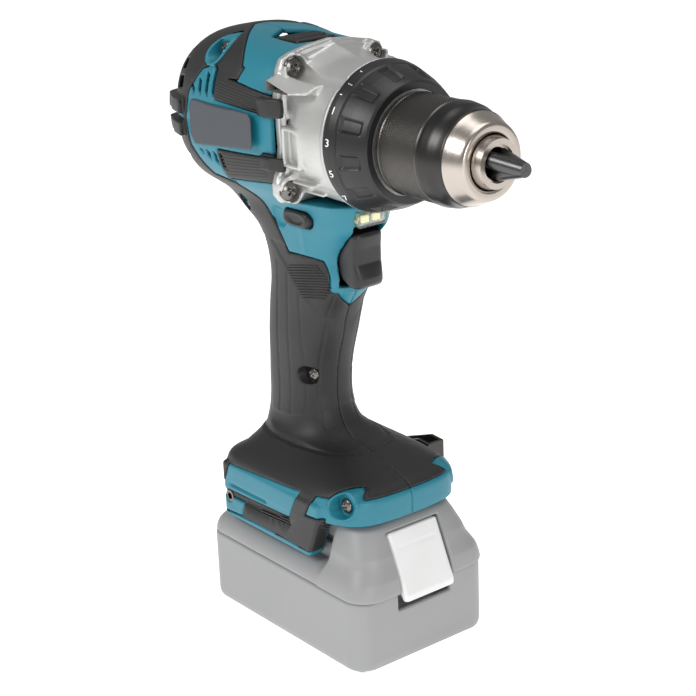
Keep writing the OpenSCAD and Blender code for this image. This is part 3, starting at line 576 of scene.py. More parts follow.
def teal_relief(x, y, z):
    """Steps moulded in the teal: rims round openings and a panel line low on each flank."""
    wide = np.abs(y)
    rims = np.zeros(np.broadcast(x, y, z).shape)
    trigger = outline_field(x, z, TRIGGER_GAP, 0.3)
    rims = rims + 0.5 * np.exp(-((trigger - 3.2) / 1.6) ** 2) * (z < 197)
    lever = np.sqrt(np.maximum(np.abs(x + 12.6) - 1.2, 0) ** 2 + ((z - LEVER_Z + 1.8) * 0.8) ** 2)
    rims = rims - 1.4 / (1 + np.exp((lever - 3.4) * 3)) * (wide > 10)
    slot = np.maximum(between(x + (z - 65.5) * 0.4, -37, -9), between(z, 64.6, 66))
    return rims - 1.2 * (slot < 0) * (wide > 30)


def half_cut(y, side):
    """The seam between the two shells."""
    return SEAM_GAP - side * y


def seat_cup(x, y, z, form, seat):
    """The cup behind a screw's recess."""
    sx, sz, depth, r = seat
    return np.maximum(rod(x, z, sx, sz, r + 1.4), np.maximum(form + 0.4, depth - 3 - np.abs(y)))


def teal_bosses(x, z):
    """Round teal bosses that stand through the rubber at two of the screws."""
    return np.minimum(rod(x, z, HEAD_SEAT[0], HEAD_SEAT[1], 6.2), rod(x, z, FOOT_SEAT[0], FOOT_SEAT[1], 6.6))


def teal_shell(side):
    def field(x, y, z):
        form = body(x, y, z)
        boss = teal_bosses(x, z)
        zone = np.maximum(rubber_zone(x, y, z), -boss)
        skin = form - teal_relief(x, y, z)
        lip = smooth_min(skin, np.maximum(boss, form - 0.9), 0.4)
        shell = cut(lip, zone - JOINT_GAP, 0.6)
        shell = np.maximum(shell, -(form + WALL))
        for seat in (HEAD_SEAT, FOOT_SEAT, NECK_SEAT):
            shell = np.minimum(shell, seat_cup(x, y, z, form, seat))
        deck = np.maximum(form + 0.4, np.maximum(between(z, AXIS_Z - 34.5, AXIS_Z - 31.2), -1 - x))
        shell = np.minimum(shell, deck)
        shell = cut(shell, openings(x, y, z, side), 0.5)
        return smooth_max(shell, half_cut(y, side), 0.5)
    return field


def rubber_skin(side):
    def field(x, y, z):
        form = body(x, y, z)
        w = z - AXIS_Z
        inner = form + WALL - 0.3
        zone = np.maximum(rubber_zone(x, y, z), -teal_bosses(x, z))
        bumpers = np.maximum(np.minimum(between(w, 1.6, 8.4), between(w, -8.8, -2.4)), x + 58)
        raised = smooth_min(form - rubber_relief(x, y, z), np.maximum(form - 2.9, bumpers), 1.0)
        skin = smooth_max(raised, zone + JOINT_GAP, 0.8)
        skin = np.maximum(skin, -inner)
        skin = np.minimum(skin, seat_cup(x, y, z, form, GRIP_SEAT))
        tray = np.maximum(between(w, 29, 30.8),
                          between(x, -34, 2))       # closes the slider's slot from below
        skin = np.minimum(skin, np.maximum(tray, inner))
        skin = cut(skin, openings(x, y, z, side), 0.6)
        skin = cut(skin, plate_recess(x, y, z), 0.4)
        return smooth_max(skin, half_cut(y, side), 0.5)
    return field


PLATE_OUTLINE = [[-49.5, 248.6], [-51.8, 245], [-51.8, 231.5], [-48.5, 227.4], [-6, 231.6], [-4.2, 233.4],
                 [-4.2, 245.6], [-6.5, 248.2]]


def plate_recess(x, y, z):
    """The flat bed of the motor plate."""
    return np.maximum(outline_field(x, z, PLATE_OUTLINE, 0.4), 30 - np.abs(y))


GRIP_PANEL = [[-19.5, 101], [-4.5, 103.8], [0.6, 107], [4.5, 112], [5.6, 134], [6.4, 150], [1, 160],
              [-10, 172],
              [-20, 182], [-30, 190], [-30, 101]]
FOOT_STRIP = [[-45, 61.4], [9, 63.8], [10.5, 60.4], [-10, 58.6], [-45, 58.8]]


def rubber_relief(x, y, z):
    """Height of the rubber over the plain form: panels, grooves and the belt recess in the foot."""
    wide = np.abs(y)
    proud = np.full(np.broadcast(x, y, z).shape, 0.3)
    panel = outline_field(x, z, GRIP_PANEL, 0.5)
    proud = proud - 0.35 / (1 + np.exp(-panel * 4)) * (z < 185) * (z > 90)
    for groove_x in (-21, -13, -5):
        lean = groove_x + (z - 140) * 0.06
        proud = proud - 0.4 * np.exp(-((x - lean) / 0.5) ** 2) * (panel < -1) * (z < 176)
    front = np.abs(wide - 9.5) < 0.5
    proud = proud - 0.3 * front * (x > -10) * ((z > 97) & (z < 166))
    strip = np.maximum(outline_field(x, z, FOOT_STRIP), 30 - wide)
    return proud - 1.1 * (strip < 0)


# ------------------------------------------------------------------ meshing

CORNERS = np.array([(i, j, k) for i in (0, 1) for j in (0, 1) for k in (0, 1)])
EDGES = [(a, b) for a in range(8) for b in range(a + 1, 8) if np.abs(CORNERS[a] - CORNERS[b]).sum() == 1]


def net(field, low, high, step):
    """Vertices and quads of a field's zero surface: one vertex in each grid cell that it crosses."""
    axes = [np.arange(a - step, b + 2 * step, step) for a, b in zip(low, high)]
    grid = [a.reshape([-1 if i == n else 1 for n in range(3)]) for i, a in enumerate(axes)]
    value = np.broadcast_to(field(*grid), [len(a) for a in axes]).astype(np.float32)
    inside = value < 0
    count = sum(inside[c[0]:inside.shape[0] - 1 + c[0], c[1]:inside.shape[1] - 1 + c[1],
                       c[2]:inside.shape[2] - 1 + c[2]].astype(np.int8) for c in CORNERS)
    cells = np.argwhere((count > 0) & (count < 8))
    index = np.full(count.shape, -1, np.int64)
    index[tuple(cells.T)] = np.arange(len(cells))
    corner = np.stack([value[tuple((cells + c).T)] for c in CORNERS], 1)
    total, hits = np.zeros((len(cells), 3)), np.zeros(len(cells))
    for a, b in EDGES:
        crossed = (corner[:, a] < 0) != (corner[:, b] < 0)
        gap = np.where(crossed, corner[:, a] - corner[:, b], 1)
        t = (corner[:, a] / gap)[:, None]
        total += np.where(crossed[:, None], CORNERS[a] + t * (CORNERS[b] - CORNERS[a]), 0)
        hits += crossed
    origin = np.array([a[0] for a in axes])
    points = origin + (cells + total / hits[:, None]) * step
    quads = []
    for axis in range(3):
        u, v = (axis + 1) % 3, (axis + 2) % 3
        here = [slice(1, -1)] * 3
        ahead = list(here)
        here[axis], ahead[axis] = slice(0, -1), slice(1, None)
        first, second = inside[tuple(here)], inside[tuple(ahead)]
        for leaves in (True, False):
            at = np.argwhere(first & ~second if leaves else ~first & second)
            at[:, u] += 1
            at[:, v] += 1
            steps = ((0, 0), (1, 0), (1, 1), (0, 1))
            ring = []
            for du, dv in steps if leaves else steps[::-1]:
                cell = at.copy()
                cell[:, u] += du - 1
                cell[:, v] += dv - 1
                ring.append(index[tuple(cell.T)])
            quads.append(np.stack(ring, 1))
    return points, np.concatenate(quads)


def settle(field, points, step, rounds=2):
    """Moves points onto the zero surface along the field's slope."""
    for _ in range(rounds):
        x, y, z = points.T
        value, d = field(x, y, z), 0.05
        slope = np.stack([field(x + d, y, z) - value, field(x, y + d, z) - value,
                          field(x, y, z + d) - value], 1) / d
        size = np.maximum((slope ** 2).sum(1), 0.2)
        move = -value[:, None] * slope / size[:, None]
        reach = np.linalg.norm(move, axis=1)
        points = points + move * np.minimum(1, 0.4 * step / np.maximum(reach, 1e-9))[:, None]
    return points


def mesh_from(name, points, faces, material):
    """An object with one smooth-shaded mesh; points are in millimetres."""
    data = bpy.data.meshes.new(name)
    size = faces.shape[1]
    data.vertices.add(len(points))
    data.vertices.foreach_set("co", (np.asarray(points) * MM).astype(np.float32).ravel())
    data.loops.add(len(faces) * size)
    data.loops.foreach_set("vertex_index", faces.astype(np.int32).ravel())
    data.polygons.add(len(faces))
    data.polygons.foreach_set("loop_start", np.arange(0, len(faces) * size, size, dtype=np.int32))
    data.polygons.foreach_set("use_smooth", np.full(len(faces), True))
    data.update(calc_edges=True)
    data.materials.append(material)
    made = bpy.data.objects.new(name, data)
    bpy.context.scene.collection.objects.link(made)
    return made


def applied(piece, kind, **settings):
    """Adds a modifier and makes its result the piece's own mesh."""
    modifier = piece.modifiers.new(kind.lower(), kind)
    for key, value in settings.items():
        setattr(modifier, key, value)
    done = bpy.data.meshes.new_from_object(piece.evaluated_get(bpy.context.evaluated_depsgraph_get()))
    piece.modifiers.clear()
    piece.data = done
    return piece


def moulding(name, field, low, high, material, body_name, stands_for, step=None, keep=0.5):
    """A piece meshed from its field, thinned where it is flat, riding on its body."""
    step = step or STEP
    points, quads = net(field, low, high, step)
    piece = mesh_from(name, settle(field, points, step), quads, material)
    if keep < 1:
        applied(piece, "DECIMATE", ratio=keep)
    piece.data.polygons.foreach_set("use_smooth", [True] * len(piece.data.polygons))
    return stand_in(piece, body_name, stands_for)


def stand_in(piece, body_name, stands_for=()):
    """Puts a piece on its body and in place of its CAD nodes."""
    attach(piece, body_name)
    if stands_for:
        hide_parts(*stands_for)
    return piece


def make_shells():
    for side, word in ((-1, "right"), (1, "left")):
        low = (-84, -41 if side < 0 else -0.6, 46)
        high = (54, 0.6 if side < 0 else 41, 280)
        moulding(f"{word}_shell", teal_shell(side), low, high, TEAL, "tool",
                 [f"housing_{word}"])
        moulding(f"{word}_rubber", rubber_skin(side), low, high, RUBBER, "tool",
                 [f"skin_{word}"])


make_shells()

# ------------------------------------------------------------------ geometry nodes


class Tree:
    """A geometry node group whose nodes are made by one method."""

    def __init__(self, name, **sizes):
        self.group = bpy.data.node_groups.new(name, "GeometryNodeTree")
        self.group.interface.new_socket("Geometry", in_out="INPUT", socket_type="NodeSocketGeometry")
        for size in sizes:
            kind = "NodeSocketInt" if isinstance(sizes[size], int) else "NodeSocketFloat"
            self.group.interface.new_socket(size, in_out="INPUT", socket_type=kind)
        self.group.interface.new_socket("Geometry", in_out="OUTPUT", socket_type="NodeSocketGeometry")
        self.sizes = sizes
        self.given = self.group.nodes.new("NodeGroupInput")
        self.result = self.group.nodes.new("NodeGroupOutput")

    def input(self, name="Geometry"):
        return self.given.outputs[name]

    def node(self, kind, settings=None, pick=0, **named):
        made = self.group.nodes.new(kind)
        for key, value in (settings or {}).items():
            setattr(made, key, value)
        for key, value in named.items():
            socket = made.inputs[key.replace("_", " ")]
            if isinstance(value, bpy.types.NodeSocket):
                self.group.links.new(value, socket)
            else:
                socket.default_value = value
        return made.outputs[pick]

    def finish(self, geometry, material):
        real = self.node("GeometryNodeRealizeInstances", Geometry=geometry)
        painted = self.node("GeometryNodeSetMaterial", Geometry=real, Material=material)
        self.group.links.new(painted, self.result.inputs[0])

    def made_on(self, piece):
        """Runs the tree on a piece and keeps the result as its plain mesh."""
        modifier = piece.modifiers.new("nodes", "NODES")
        modifier.node_group = self.group
        for item in self.group.interface.items_tree:
            if item.in_out == "INPUT" and item.name in self.sizes:
                modifier[item.identifier] = self.sizes[item.name]
        done = bpy.data.meshes.new_from_object(piece.evaluated_get(bpy.context.evaluated_depsgraph_get()))
        piece.modifiers.clear()
        piece.data = done
        return piece


def lines_object(name, lines):
    """An object of loose edges through lists of points, in millimetres."""
    data = bpy.data.meshes.new(name)
    points = [p for line in lines for p in line]
    edges, start = [], 0
    for line in lines:
        edges += [(start + i, start + i + 1) for i in range(len(line) - 1)]
        start += len(line)
    data.from_pydata([tuple(float(c) * MM for c in p) for p in points], edges, [])
    made = bpy.data.objects.new(name, data)
    bpy.context.scene.collection.objects.link(made)
    return made


def ribs(name, lines, radius, material, body_name):
    """Round-backed ribs swept along lines that lie on the surface."""
    tree = Tree(name, Radius=radius * MM, Sides=8)
    curve = tree.node("GeometryNodeMeshToCurve", Mesh=tree.input())
    ring = tree.node("GeometryNodeCurvePrimitiveCircle", Resolution=tree.input("Sides"),
                     Radius=tree.input("Radius"))
    tube = tree.node("GeometryNodeCurveToMesh", Curve=curve, Profile_Curve=ring, Fill_Caps=True)
    tree.finish(tube, material)
    return stand_in(tree.made_on(lines_object(name, lines)), body_name)


PAD_TOP_Z, PAD_INSIDE, GRIP_INSIDE, WIDEST = 67, 31.0, 2.0, 44.0     # where a flank is looked for


def on_surface(field, x, z, side, sink):
    """Width at which a form's flank passes through x, z, less a sink."""
    low, high = np.where(z < PAD_TOP_Z, PAD_INSIDE, GRIP_INSIDE), np.full(x.shape, WIDEST)
    for _ in range(22):
        middle = (low + high) / 2
        inside = field(x, side * middle, z) < 0
        low, high = np.where(inside, middle, low), np.where(inside, high, middle)
    return side * (low - sink)


def laid(field, start, end, side, sink, count=14, slanted=False):
    """A line of [x, z] points laid on a flank; a slanted one is carried in from its drawing plane."""
    xs, zs = np.linspace(start[0], end[0], count), np.linspace(start[1], end[1], count)
    fall = np.zeros(count)
    for _ in range(12 if slanted else 0):
        width = np.abs(on_surface(field, xs - SLANT_X * fall, zs - SLANT_Z * fall, side, 0))
        fall = fall * 0.5 + np.maximum(FLAT_Y - width, 0) * 0.5
    xs, zs = xs - SLANT_X * fall, zs - SLANT_Z * fall
    return np.stack([xs, on_surface(field, xs, zs, side, sink), zs], 1)


def clipped(shortest, outline, slope, pitch, phase=0.0):
    """Parallel lines of one slope clipped to an outline: (start, end) pairs longer than shortest."""
    pts = np.asarray(outline, float)
    tilted = pts[:, 1] - slope * pts[:, 0]
    found = []
    for level in np.arange(tilted.min() + phase, tilted.max(), pitch):
        hits = []
        for a, b in zip(range(len(pts)), list(range(1, len(pts))) + [0]):
            if (tilted[a] < level) != (tilted[b] < level):
                share = (level - tilted[a]) / (tilted[b] - tilted[a])
                hits.append(pts[a, 0] + share * (pts[b, 0] - pts[a, 0]))
        hits.sort()
        found += [((a, level + slope * a), (b, level + slope * b))
                  for a, b in zip(hits[::2], hits[1::2]) if b - a > shortest]
    return found


# ------------------------------------------------------------------ turned pieces


def outward(points, faces):
    """Faces turned so that they look out of the solid they enclose."""
    p = points[faces[:, :3]]
    return faces if np.einsum("ij,ij->i", p[:, 0], np.cross(p[:, 1], p[:, 2])).sum() > 0 else faces[:, ::-1]


def lathe(name, profile, material, step, relief=None, sharp=40):
    """A closed [x, r] outline turned about the drill axis; relief(x, r, angle) is added to its radius."""
    path, bore = [], min(r for _, r in profile)
    for (ax, ar), (bx, br) in zip(profile, profile[1:] + profile[:1]):
        count = 1 if ar == br == bore else max(1, round(math.hypot(bx - ax, br - ar) / step))
        path += [(ax + (bx - ax) * i / count, ar + (br - ar) * i / count) for i in range(count)]
    path = np.array(path)
    around = int(2 * math.pi * max(r for _, r in profile) / step)
    x, t = np.meshgrid(path[:, 0], np.arange(around) * 2 * math.pi / around, indexing="ij")
    r = np.broadcast_to(path[:, 1:], x.shape)
    if relief:
        r = r + relief(x, r, t)
    points = np.stack([x, r * np.sin(t), AXIS_Z - r * np.cos(t)], -1).reshape(-1, 3)
    i, j = np.meshgrid(np.arange(len(path)), np.arange(around), indexing="ij")
    i2, j2 = (i + 1) % len(path), (j + 1) % around
    faces = np.stack([i * around + j, i * around + j2, i2 * around + j2, i2 * around + j], -1).reshape(-1, 4)
    made = mesh_from(name, points, outward(points - points.mean(0), faces), material)
    made.data.set_sharp_from_angle(angle=math.radians(sharp))
    return made


def ease(v, low, high):
    """0 below low, 1 above high, and a smooth step between."""
    t = np.clip((v - low) / (high - low), 0, 1)
    return t * t * (3 - 2 * t)


GROOVE_SPACING, GROOVE_TURN, GROOVE_DEPTH = 30, 9, 1.45      # degrees, degrees, millimetres
KNURL_PITCH, KNURL_DEPTH = 1.3, 0.42


def ring_relief(x, r, t):
    """Grooves that leave raised, chamfered pads round the ring, and one fine line behind them."""
    off = np.abs((np.degrees(t) - GROOVE_TURN + GROOVE_SPACING / 2) % GROOVE_SPACING - GROOVE_SPACING / 2)
    groove = 1 - np.clip((off - 4.2) / 2.2, 0, 1)
    outer = r > 25.2
    back = np.clip((x - 45.4) / 1.3, 0, 1)
    front = 1 - np.clip((x - 54.4) / 1.6, 0, 1)
    line = -0.35 * ease(x, 44.2, 44.8) * (1 - ease(x, 45.0, 45.6))
    return (-GROOVE_DEPTH * groove * np.minimum(back, front) + line) * outer


def knurl(x, r, t):
    """Two crossing sets of fine grooves."""
    ridges = round(2 * math.pi * SLEEVE_R / KNURL_PITCH)
    u = ridges * t / (2 * math.pi) + x / KNURL_PITCH
    v = ridges * t / (2 * math.pi) - x / KNURL_PITCH
    ridge = np.minimum(np.abs(u % 1 - 0.5), np.abs(v % 1 - 0.5)) * 2
    inside = (x > SLEEVE_BACK + 1.4) & (x < SLEEVE_FRONT - 1.2) & (r > 20.5)
    return -KNURL_DEPTH * (1 - ridge) * inside


def lettering(name, words, material, size, lift, body_name):
    """Plain digits and marks wrapped round the drill axis: (text, x, degrees down from the top, scale)."""
    for text, x, down, scale in words:
        curve = bpy.data.curves.new(name, "FONT")
        curve.body = text
        curve.size = size * scale
        curve.align_x, curve.align_y = "CENTER", "CENTER"
        curve.extrude = 0.04
        curve.resolution_u = 3
        made = bpy.data.objects.new(f"{name}_{text}_{round(down)}", curve)
        bpy.context.scene.collection.objects.link(made)
        mesh = bpy.data.meshes.new_from_object(made.evaluated_get(bpy.context.evaluated_depsgraph_get()))
        bpy.data.objects.remove(made)
        flat = np.zeros(len(mesh.vertices) * 3, np.float32)
        mesh.vertices.foreach_get("co", flat)
        flat = flat.reshape(-1, 3).astype(float)
        along = x + flat[:, 0]
        r = np.interp(along, [c[0] for c in RING_OUTSIDE], [c[1] for c in RING_OUTSIDE]) + lift + flat[:, 2]
        angle = math.radians(down) - flat[:, 1] / r
        bent = np.stack([along, -r * np.sin(angle), AXIS_Z + r * np.cos(angle)], 1)
        mesh.vertices.foreach_set("co", (bent * MM).astype(np.float32).ravel())
        mesh.materials.clear()
        mesh.materials.append(material)
        mesh.update()
        piece = bpy.data.objects.new(f"{name}_{text}_{round(down)}", mesh)
        bpy.context.scene.collection.objects.link(piece)
        stand_in(piece, body_name)


RING_OUTSIDE = [[RING_BACK, RING_R - 0.5], [RING_BACK + 0.6, RING_R], [41, RING_R - 0.3], [44, 31.6],
                [44.6, 31.4]]


MARKS = [("1", 41.3, 61, 1), ("3", 41.3, 85, 1), ("5", 41.3, 109, 1), ("7", 41.3, 133, 1),
         ("-", 41.3, 47, 0.9), ("-", 41.3, 23, 0.9), ("...", 42.2, 36, 0.8)]
MARK_SIZE, MARK_LIFT = 4.6, 0.02
RING_STEP, SLEEVE_STEP, CONE_STEP = ((0.36, 0.27, 0.9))


def make_turned_pieces():
    ring = [[RING_BACK, 29], *RING_OUTSIDE, [48, 30.4], [50.5, 29.6], [53, 28.6], [55.2, 27.6], [56.6, 26.9],
            [57.8, 26.3], [RING_FRONT - 0.3, 25.8], [RING_FRONT, 25.4], [RING_FRONT, 22.6], [57.6, 22.5],
            [57.5, 24.45],
            [51.2, 24.45], [50.4, 28.1], [42, 28.1], [40, 29]]
    piece = lathe("torque_ring", ring, RING_BLACK, RING_STEP, ring_relief, 28)
    stand_in(piece, "torque_ring", ["clutch_ring"])
    lettering("ring_mark", MARKS, INK, MARK_SIZE, MARK_LIFT, "torque_ring")
    sleeve = [[SLEEVE_BACK, 19.5], [SLEEVE_BACK, SLEEVE_R - 0.6], [SLEEVE_BACK + 0.6, SLEEVE_R],
              [SLEEVE_FRONT - 0.9, SLEEVE_R], [SLEEVE_FRONT, SLEEVE_R - 0.5], [SLEEVE_FRONT, 19.5]]
    piece = lathe("knurled_sleeve", sleeve, KNURL_STEEL, SLEEVE_STEP, knurl, 80)
    stand_in(piece, "sleeve", ["chuck_sleeve"])
    back = SLEEVE_FRONT + 0.02
    collar = [[back, 19.4], [back, SLEEVE_R - 0.2], [back + 0.5, SLEEVE_R + 0.05], [86, SLEEVE_R + 0.2],
              [88.4, SLEEVE_R - 0.1], [90.6, SLEEVE_R - 0.4], [92.4, SLEEVE_R - 1.1], [93.6, 20.3],
              [95.6, 19.9],
              [97.1, 19.7], [COLLAR_FRONT, 19.4], [COLLAR_FRONT, 15.6], [95, 15.6], [93, 19.4]]
    piece = lathe("sleeve_collar", collar, BLACK_STEEL, CONE_STEP, None, 50)
    stand_in(piece, "sleeve", ["chuck_collar"])
    cone = [[COLLAR_FRONT + 0.02, 15.4], [COLLAR_FRONT + 0.02, 19.3], [COLLAR_FRONT + 0.2, 19.4], [99, 18.7],
            [102.4, 17.3], [104.6, 16.4], [CONE_FRONT - 0.5, 15.9], [CONE_FRONT, 15.3], [CONE_FRONT, 12.2],
            [CONE_FRONT - 0.4, 11.8], [102.5, 12.7], [98.4, 15]]
    piece = lathe("nose_cone", cone, CHUCK_STEEL, CONE_STEP, None, 50)
    stand_in(piece, "sleeve", ["chuck_nose"])


make_turned_pieces()

# ------------------------------------------------------------------ cast gear case

FLANGE = [[-31, 16], [-29.8, 22], [-29, 28], [-26.8, 32.4], [-22, 34.3], [-12, 36.4], [0, 37.8], [12, 36.4],
          [22, 34.3], [26.8, 32.4], [29, 28], [29.8, 22], [31, 16], [30, 6], [29.6, -5], [30.6, -14],
          [33.2, -21],
          [33.2, -26], [30.4, -29.8], [26, -31], [-26, -31], [-30.4, -29.8], [-33.2, -26], [-33.2, -21],
          [-30.6, -14], [-29.6, -5], [-30, 6]]
CASE_SCREWS = [[22.2, 28.4], [-22.2, 28.4], [27.2, -24.6], [-27.2, -24.6]]
CASE_SEAT_X = 6.05      # where the screw heads sit
CASE_BACK, CASE_END = FLANGE_X + 0.05, RING_BACK - 0.3
BEARING_BORE = 14.03


def gear_case(x, y, z):
    """Flange, stepped back plate, barrel, front rim and the neck inside the torque ring."""
    w = z - AXIS_Z
    wide = np.abs(y)
    rho = np.sqrt(y * y + w * w)
    plan = outline_field(y, w, FLANGE)
    plate = smooth_max(plan + 0.3, between(x, CASE_BACK, 5.4), 0.6)
    step = smooth_max(plan + 1.9, between(x, CASE_BACK, 7.2), 0.6)
    share = ease(x, 5, 19)
    cone = (1 - share) * (plan + 4.2) + share * (rho - 31.5)
    barrel = np.maximum(cone * 0.93, between(x, 3, CASE_END - 2.2))
    rim = np.maximum(rho - 32.5, between(x, CASE_END - 2.2, CASE_END))
    lip = np.maximum(rho - 32.75, between(x, CASE_END - 1.0, CASE_END))
    form = smooth_min(smooth_min(plate, step, 0.6), barrel, 2.2)
    form = smooth_min(form, smooth_min(rim, lip, 0.3), 0.8)
    # pads round the screws run forwards and die into the barrel
    for sy, sw in CASE_SCREWS:
        length = 9.5 if sw > 0 else 9
        pad = np.maximum(rod(y, w, sy * 0.97, sw * 0.97, 6.8), between(x, 4, length))
        form = smooth_min(form, np.maximum(pad, plan + 0.6), 1.2)
    # facets on the roof and a framed boss at each flank
    roof = np.maximum(np.maximum(wide * 0.35 + w - 36.2 + (x - 6) * 0.26, between(x, 4, 26)), 20 - w)
    form = smooth_min(form, roof, 1.0)
    frame_out = block(x, wide, w, (8, 20, -13), (21, 31.6, 5), 1.2)
    frame_in = block(x, wide, w, (10, 28.2, -11), (19, 40, 3), 0.8)
    form = smooth_min(form, cut(frame_out, frame_in, 0.6), 0.8)
    ridge = block(x, wide, w, (14, 20, 6), (30, 32.0, 7.6), 0.6)
    ridge = np.minimum(ridge, block(x, wide, w, (12, 18, -20), (26, 29.4, -18.6), 0.6))
    ridge = np.minimum(ridge, block(x, wide, w, (12, 16, -25.4), (24, 26.4, -24), 0.6))
    form = smooth_min(form, np.maximum(ridge, plan + 0.9), 0.8)
    for sy, sw in CASE_SCREWS:
        seat = np.maximum(rod(y, w, sy, sw, 5.1), CASE_SEAT_X - x)
        form = cut(form, seat, 0.6)
        form = cut(form, rod(y, w, sy, sw, 2.05), 0.2)
    inside = np.maximum(rho - 27.5, x - 31.5)
    form = cut(form, np.minimum(inside, rho - BEARING_BORE), 0.3)
    neck = np.maximum(rho - 24.4, between(x, CASE_END - 4, 57.3))
    neck = np.maximum(neck, BEARING_BORE - rho)
    return np.minimum(form, neck)


moulding("cast_gear_case", gear_case, (1.4, -34.5, AXIS_Z - 34), (58, 34.5, AXIS_Z + 39), CAST, "tool",
         ["gear_case"], STEP * 0.9)

# ------------------------------------------------------------------ screws


def screw_head(r, height):
    """A domed pan head with a cross recess, its top at -height and its seat at zero."""
    def field(x, y, z):
        rho = np.sqrt(x * x + y * y)
        dome = np.sqrt(rho * rho + (z + height - r * 1.7) ** 2) - r * 1.7
        head_form = smooth_max(smooth_max(rho - r, dome, 0.5), z, 0.2)
        depth = height * 0.75
        floor = depth - height
        reach = r * 0.62 * np.clip((floor - z) / depth, 0, 1)
        arm = r * 0.14
        cross = np.minimum(np.maximum(np.abs(x) - arm, np.abs(y) - reach),
                           np.maximum(np.abs(y) - arm, np.abs(x) - reach))
        head_form = cut(head_form, np.maximum(cross, z - floor), 0.25)
        shank = np.maximum(rho - r * 0.42, between(z, -0.4, r * 1.5))
        return np.minimum(head_form, shank)
    return field


def screws(name, places, r, height, material, body_name, stands_for):
    """Screws set on points: (position, direction of the shank, turn in degrees)."""
    field = screw_head(r, height)
    step, edge = 0.16, 0.4
    low, high = (-r - edge, -r - edge, -height - edge), (r + edge, r + edge, r * 1.5 + edge)
    points, quads = net(field, low, high, step)
    pattern = mesh_from(f"{name}_pattern", settle(field, points, step), quads, material)
    applied(pattern, "DECIMATE", ratio=0.5)
    made = lines_object(name, [[p] for p, _, _ in places])
    turns = made.data.attributes.new("turn", "FLOAT_VECTOR", "POINT")
    for i, (_, way, spin) in enumerate(places):
        turn = Vector(way).to_track_quat("Z", "Y").to_matrix() @ Matrix.Rotation(math.radians(spin), 3, "Z")
        turns.data[i].vector = turn.to_euler()
    tree = Tree(name, Size=1.0)
    cloud = tree.node("GeometryNodeMeshToPoints", Mesh=tree.input())
    head_in = tree.node("GeometryNodeObjectInfo", Object=pattern, pick="Geometry")
    angles = tree.node("GeometryNodeInputNamedAttribute", {"data_type": "FLOAT_VECTOR"}, Name="turn")
    turned = tree.node("FunctionNodeEulerToRotation", Euler=angles)
    copies = tree.node("GeometryNodeInstanceOnPoints", Points=cloud, Instance=head_in, Rotation=turned,
                       Scale=tree.input("Size"))
    tree.finish(copies, material)
    tree.made_on(made)
    bpy.data.objects.remove(pattern)
    stand_in(made, body_name, stands_for)


def make_screws():
    heads = [((CASE_SEAT_X, y, AXIS_Z + w), (-1, 0, 0), spin)
             for (y, w), spin in zip(CASE_SCREWS, (38, 20, 51, 45))]
    screws("case_screws", heads, 4.5, 2.6, DARK_SCREW, "tool", ["gear_case_screws"])
    heads = [((x, -depth - 0.05, z), (0, 1, 0), 20 + 31 * i) for i,
             (x, z, depth, _) in enumerate(SCREW_SEATS)]
    screws("shell_screws", heads, 3.4, 2.1, DARK_SCREW, "tool", ["housing_screws"])


make_screws()

# ------------------------------------------------------------------ controls and lamp

TRIGGER_SIDE = [[13, 194], [27.4, 194.6], [28.6, 192.6], [26.6, 187], [26.4, 180], [28.8, 173.4],
                [28.4, 170.4],
                [26, 168.6], [21, 169], [16, 171.6], [13, 176]]


def trigger(x, y, z):
    """The finger piece and its stem."""
    nose = np.sqrt(((x - 8) / 1.3) ** 2 + y * y) - 16.2
    front = smooth_max(outline_field(x, z, TRIGGER_SIDE, -0.2), np.abs(y) - 8.2, 2.0)
    form = smooth_max(front, nose, 2.4)
    stem = block(x, y, z, (-1.4, -5, 172.4), (14, 5, 188.6), 0.8)
    return np.minimum(form, stem)


def lever(x, y, z):
    """The direction lever, with a dished pad at each end."""
    flat = np.sqrt(np.maximum(np.abs(x - LEVER_X) - 5.4, 0) ** 2 + (z - LEVER_Z) ** 2) - 3.6
    dish = np.maximum(np.sqrt(((x - LEVER_X) / 6.4) ** 2 + ((z - LEVER_Z) / 2.6) ** 2) * 2.6 - 2.2,
                      20.9 - np.abs(y))
    return cut(smooth_max(flat, np.abs(y) - 21.5, 1.6), dish, 0.7)


def selector(x, y, z):
    """The speed slider, with three ribs for the thumb."""
    w = z - AXIS_Z
    plate = block(x, y, w, (-21, -10.4, 32.2), (-5, 10.4, 36.4), 0.8)
    for i in (-1, 0, 1):
        plate = smooth_min(plate, block(x, y, w, (-13.6 + 3 * i, -8.5, 35.8), (-12.4 + 3 * i, 8.5, 37.2),
                                        0.4), 0.4)
    return plate


LENS_SIDE = [[27.5, 204.4], [32.4, 204.4], [31.4, 199.2], [29.6, 197.4], [27.5, 197.4]]


def emitters(x, y, z):
    """The two lamps behind the lens."""
    return block(x, np.abs(y) - 3.1, z, (26.9, -2.0, 199.4), (28.6, 2.0, 202.6), 0.4)


def lens(x, y, z):
    shell = smooth_max(outline_field(x, z, LENS_SIDE, -0.1), np.abs(y) - 7.4 - (z - 197.4) * 0.18, 0.6)
    return cut(shell, np.maximum(outline_field(x, z, LENS_SIDE, -1.2), np.abs(y) - 6.6), 0.3)


def make_controls():
    fine = STEP * 0.8
    moulding("trigger_lever", trigger, (-2, -9, 167), (30, 9, 196), TRIGGER_BLACK, "trigger",
             ["trigger"], fine)
    moulding("push_lever", lever, (-8.5, -22.5, 195), (11.5, 22.5, 204), BLACK, "direction_lever",
             ["direction_lever"], fine)
    moulding("speed_slider", selector, (-22, -11, AXIS_Z + 31.6), (-4, 11, AXIS_Z + 38), BLACK,
             "speed_selector",
             ["speed_selector"], fine)
    moulding("lamp_window", lens, (27, -9.2, 197), (33, 9.2, 205), LENS, "tool", ["lamp_lens"],
             fine * 0.8)
    moulding("lamp_emitters", emitters, (26.6, -6, 198.8), (29, 6, 203), PHOSPHOR, "tool",
             (), 0.4)


make_controls()

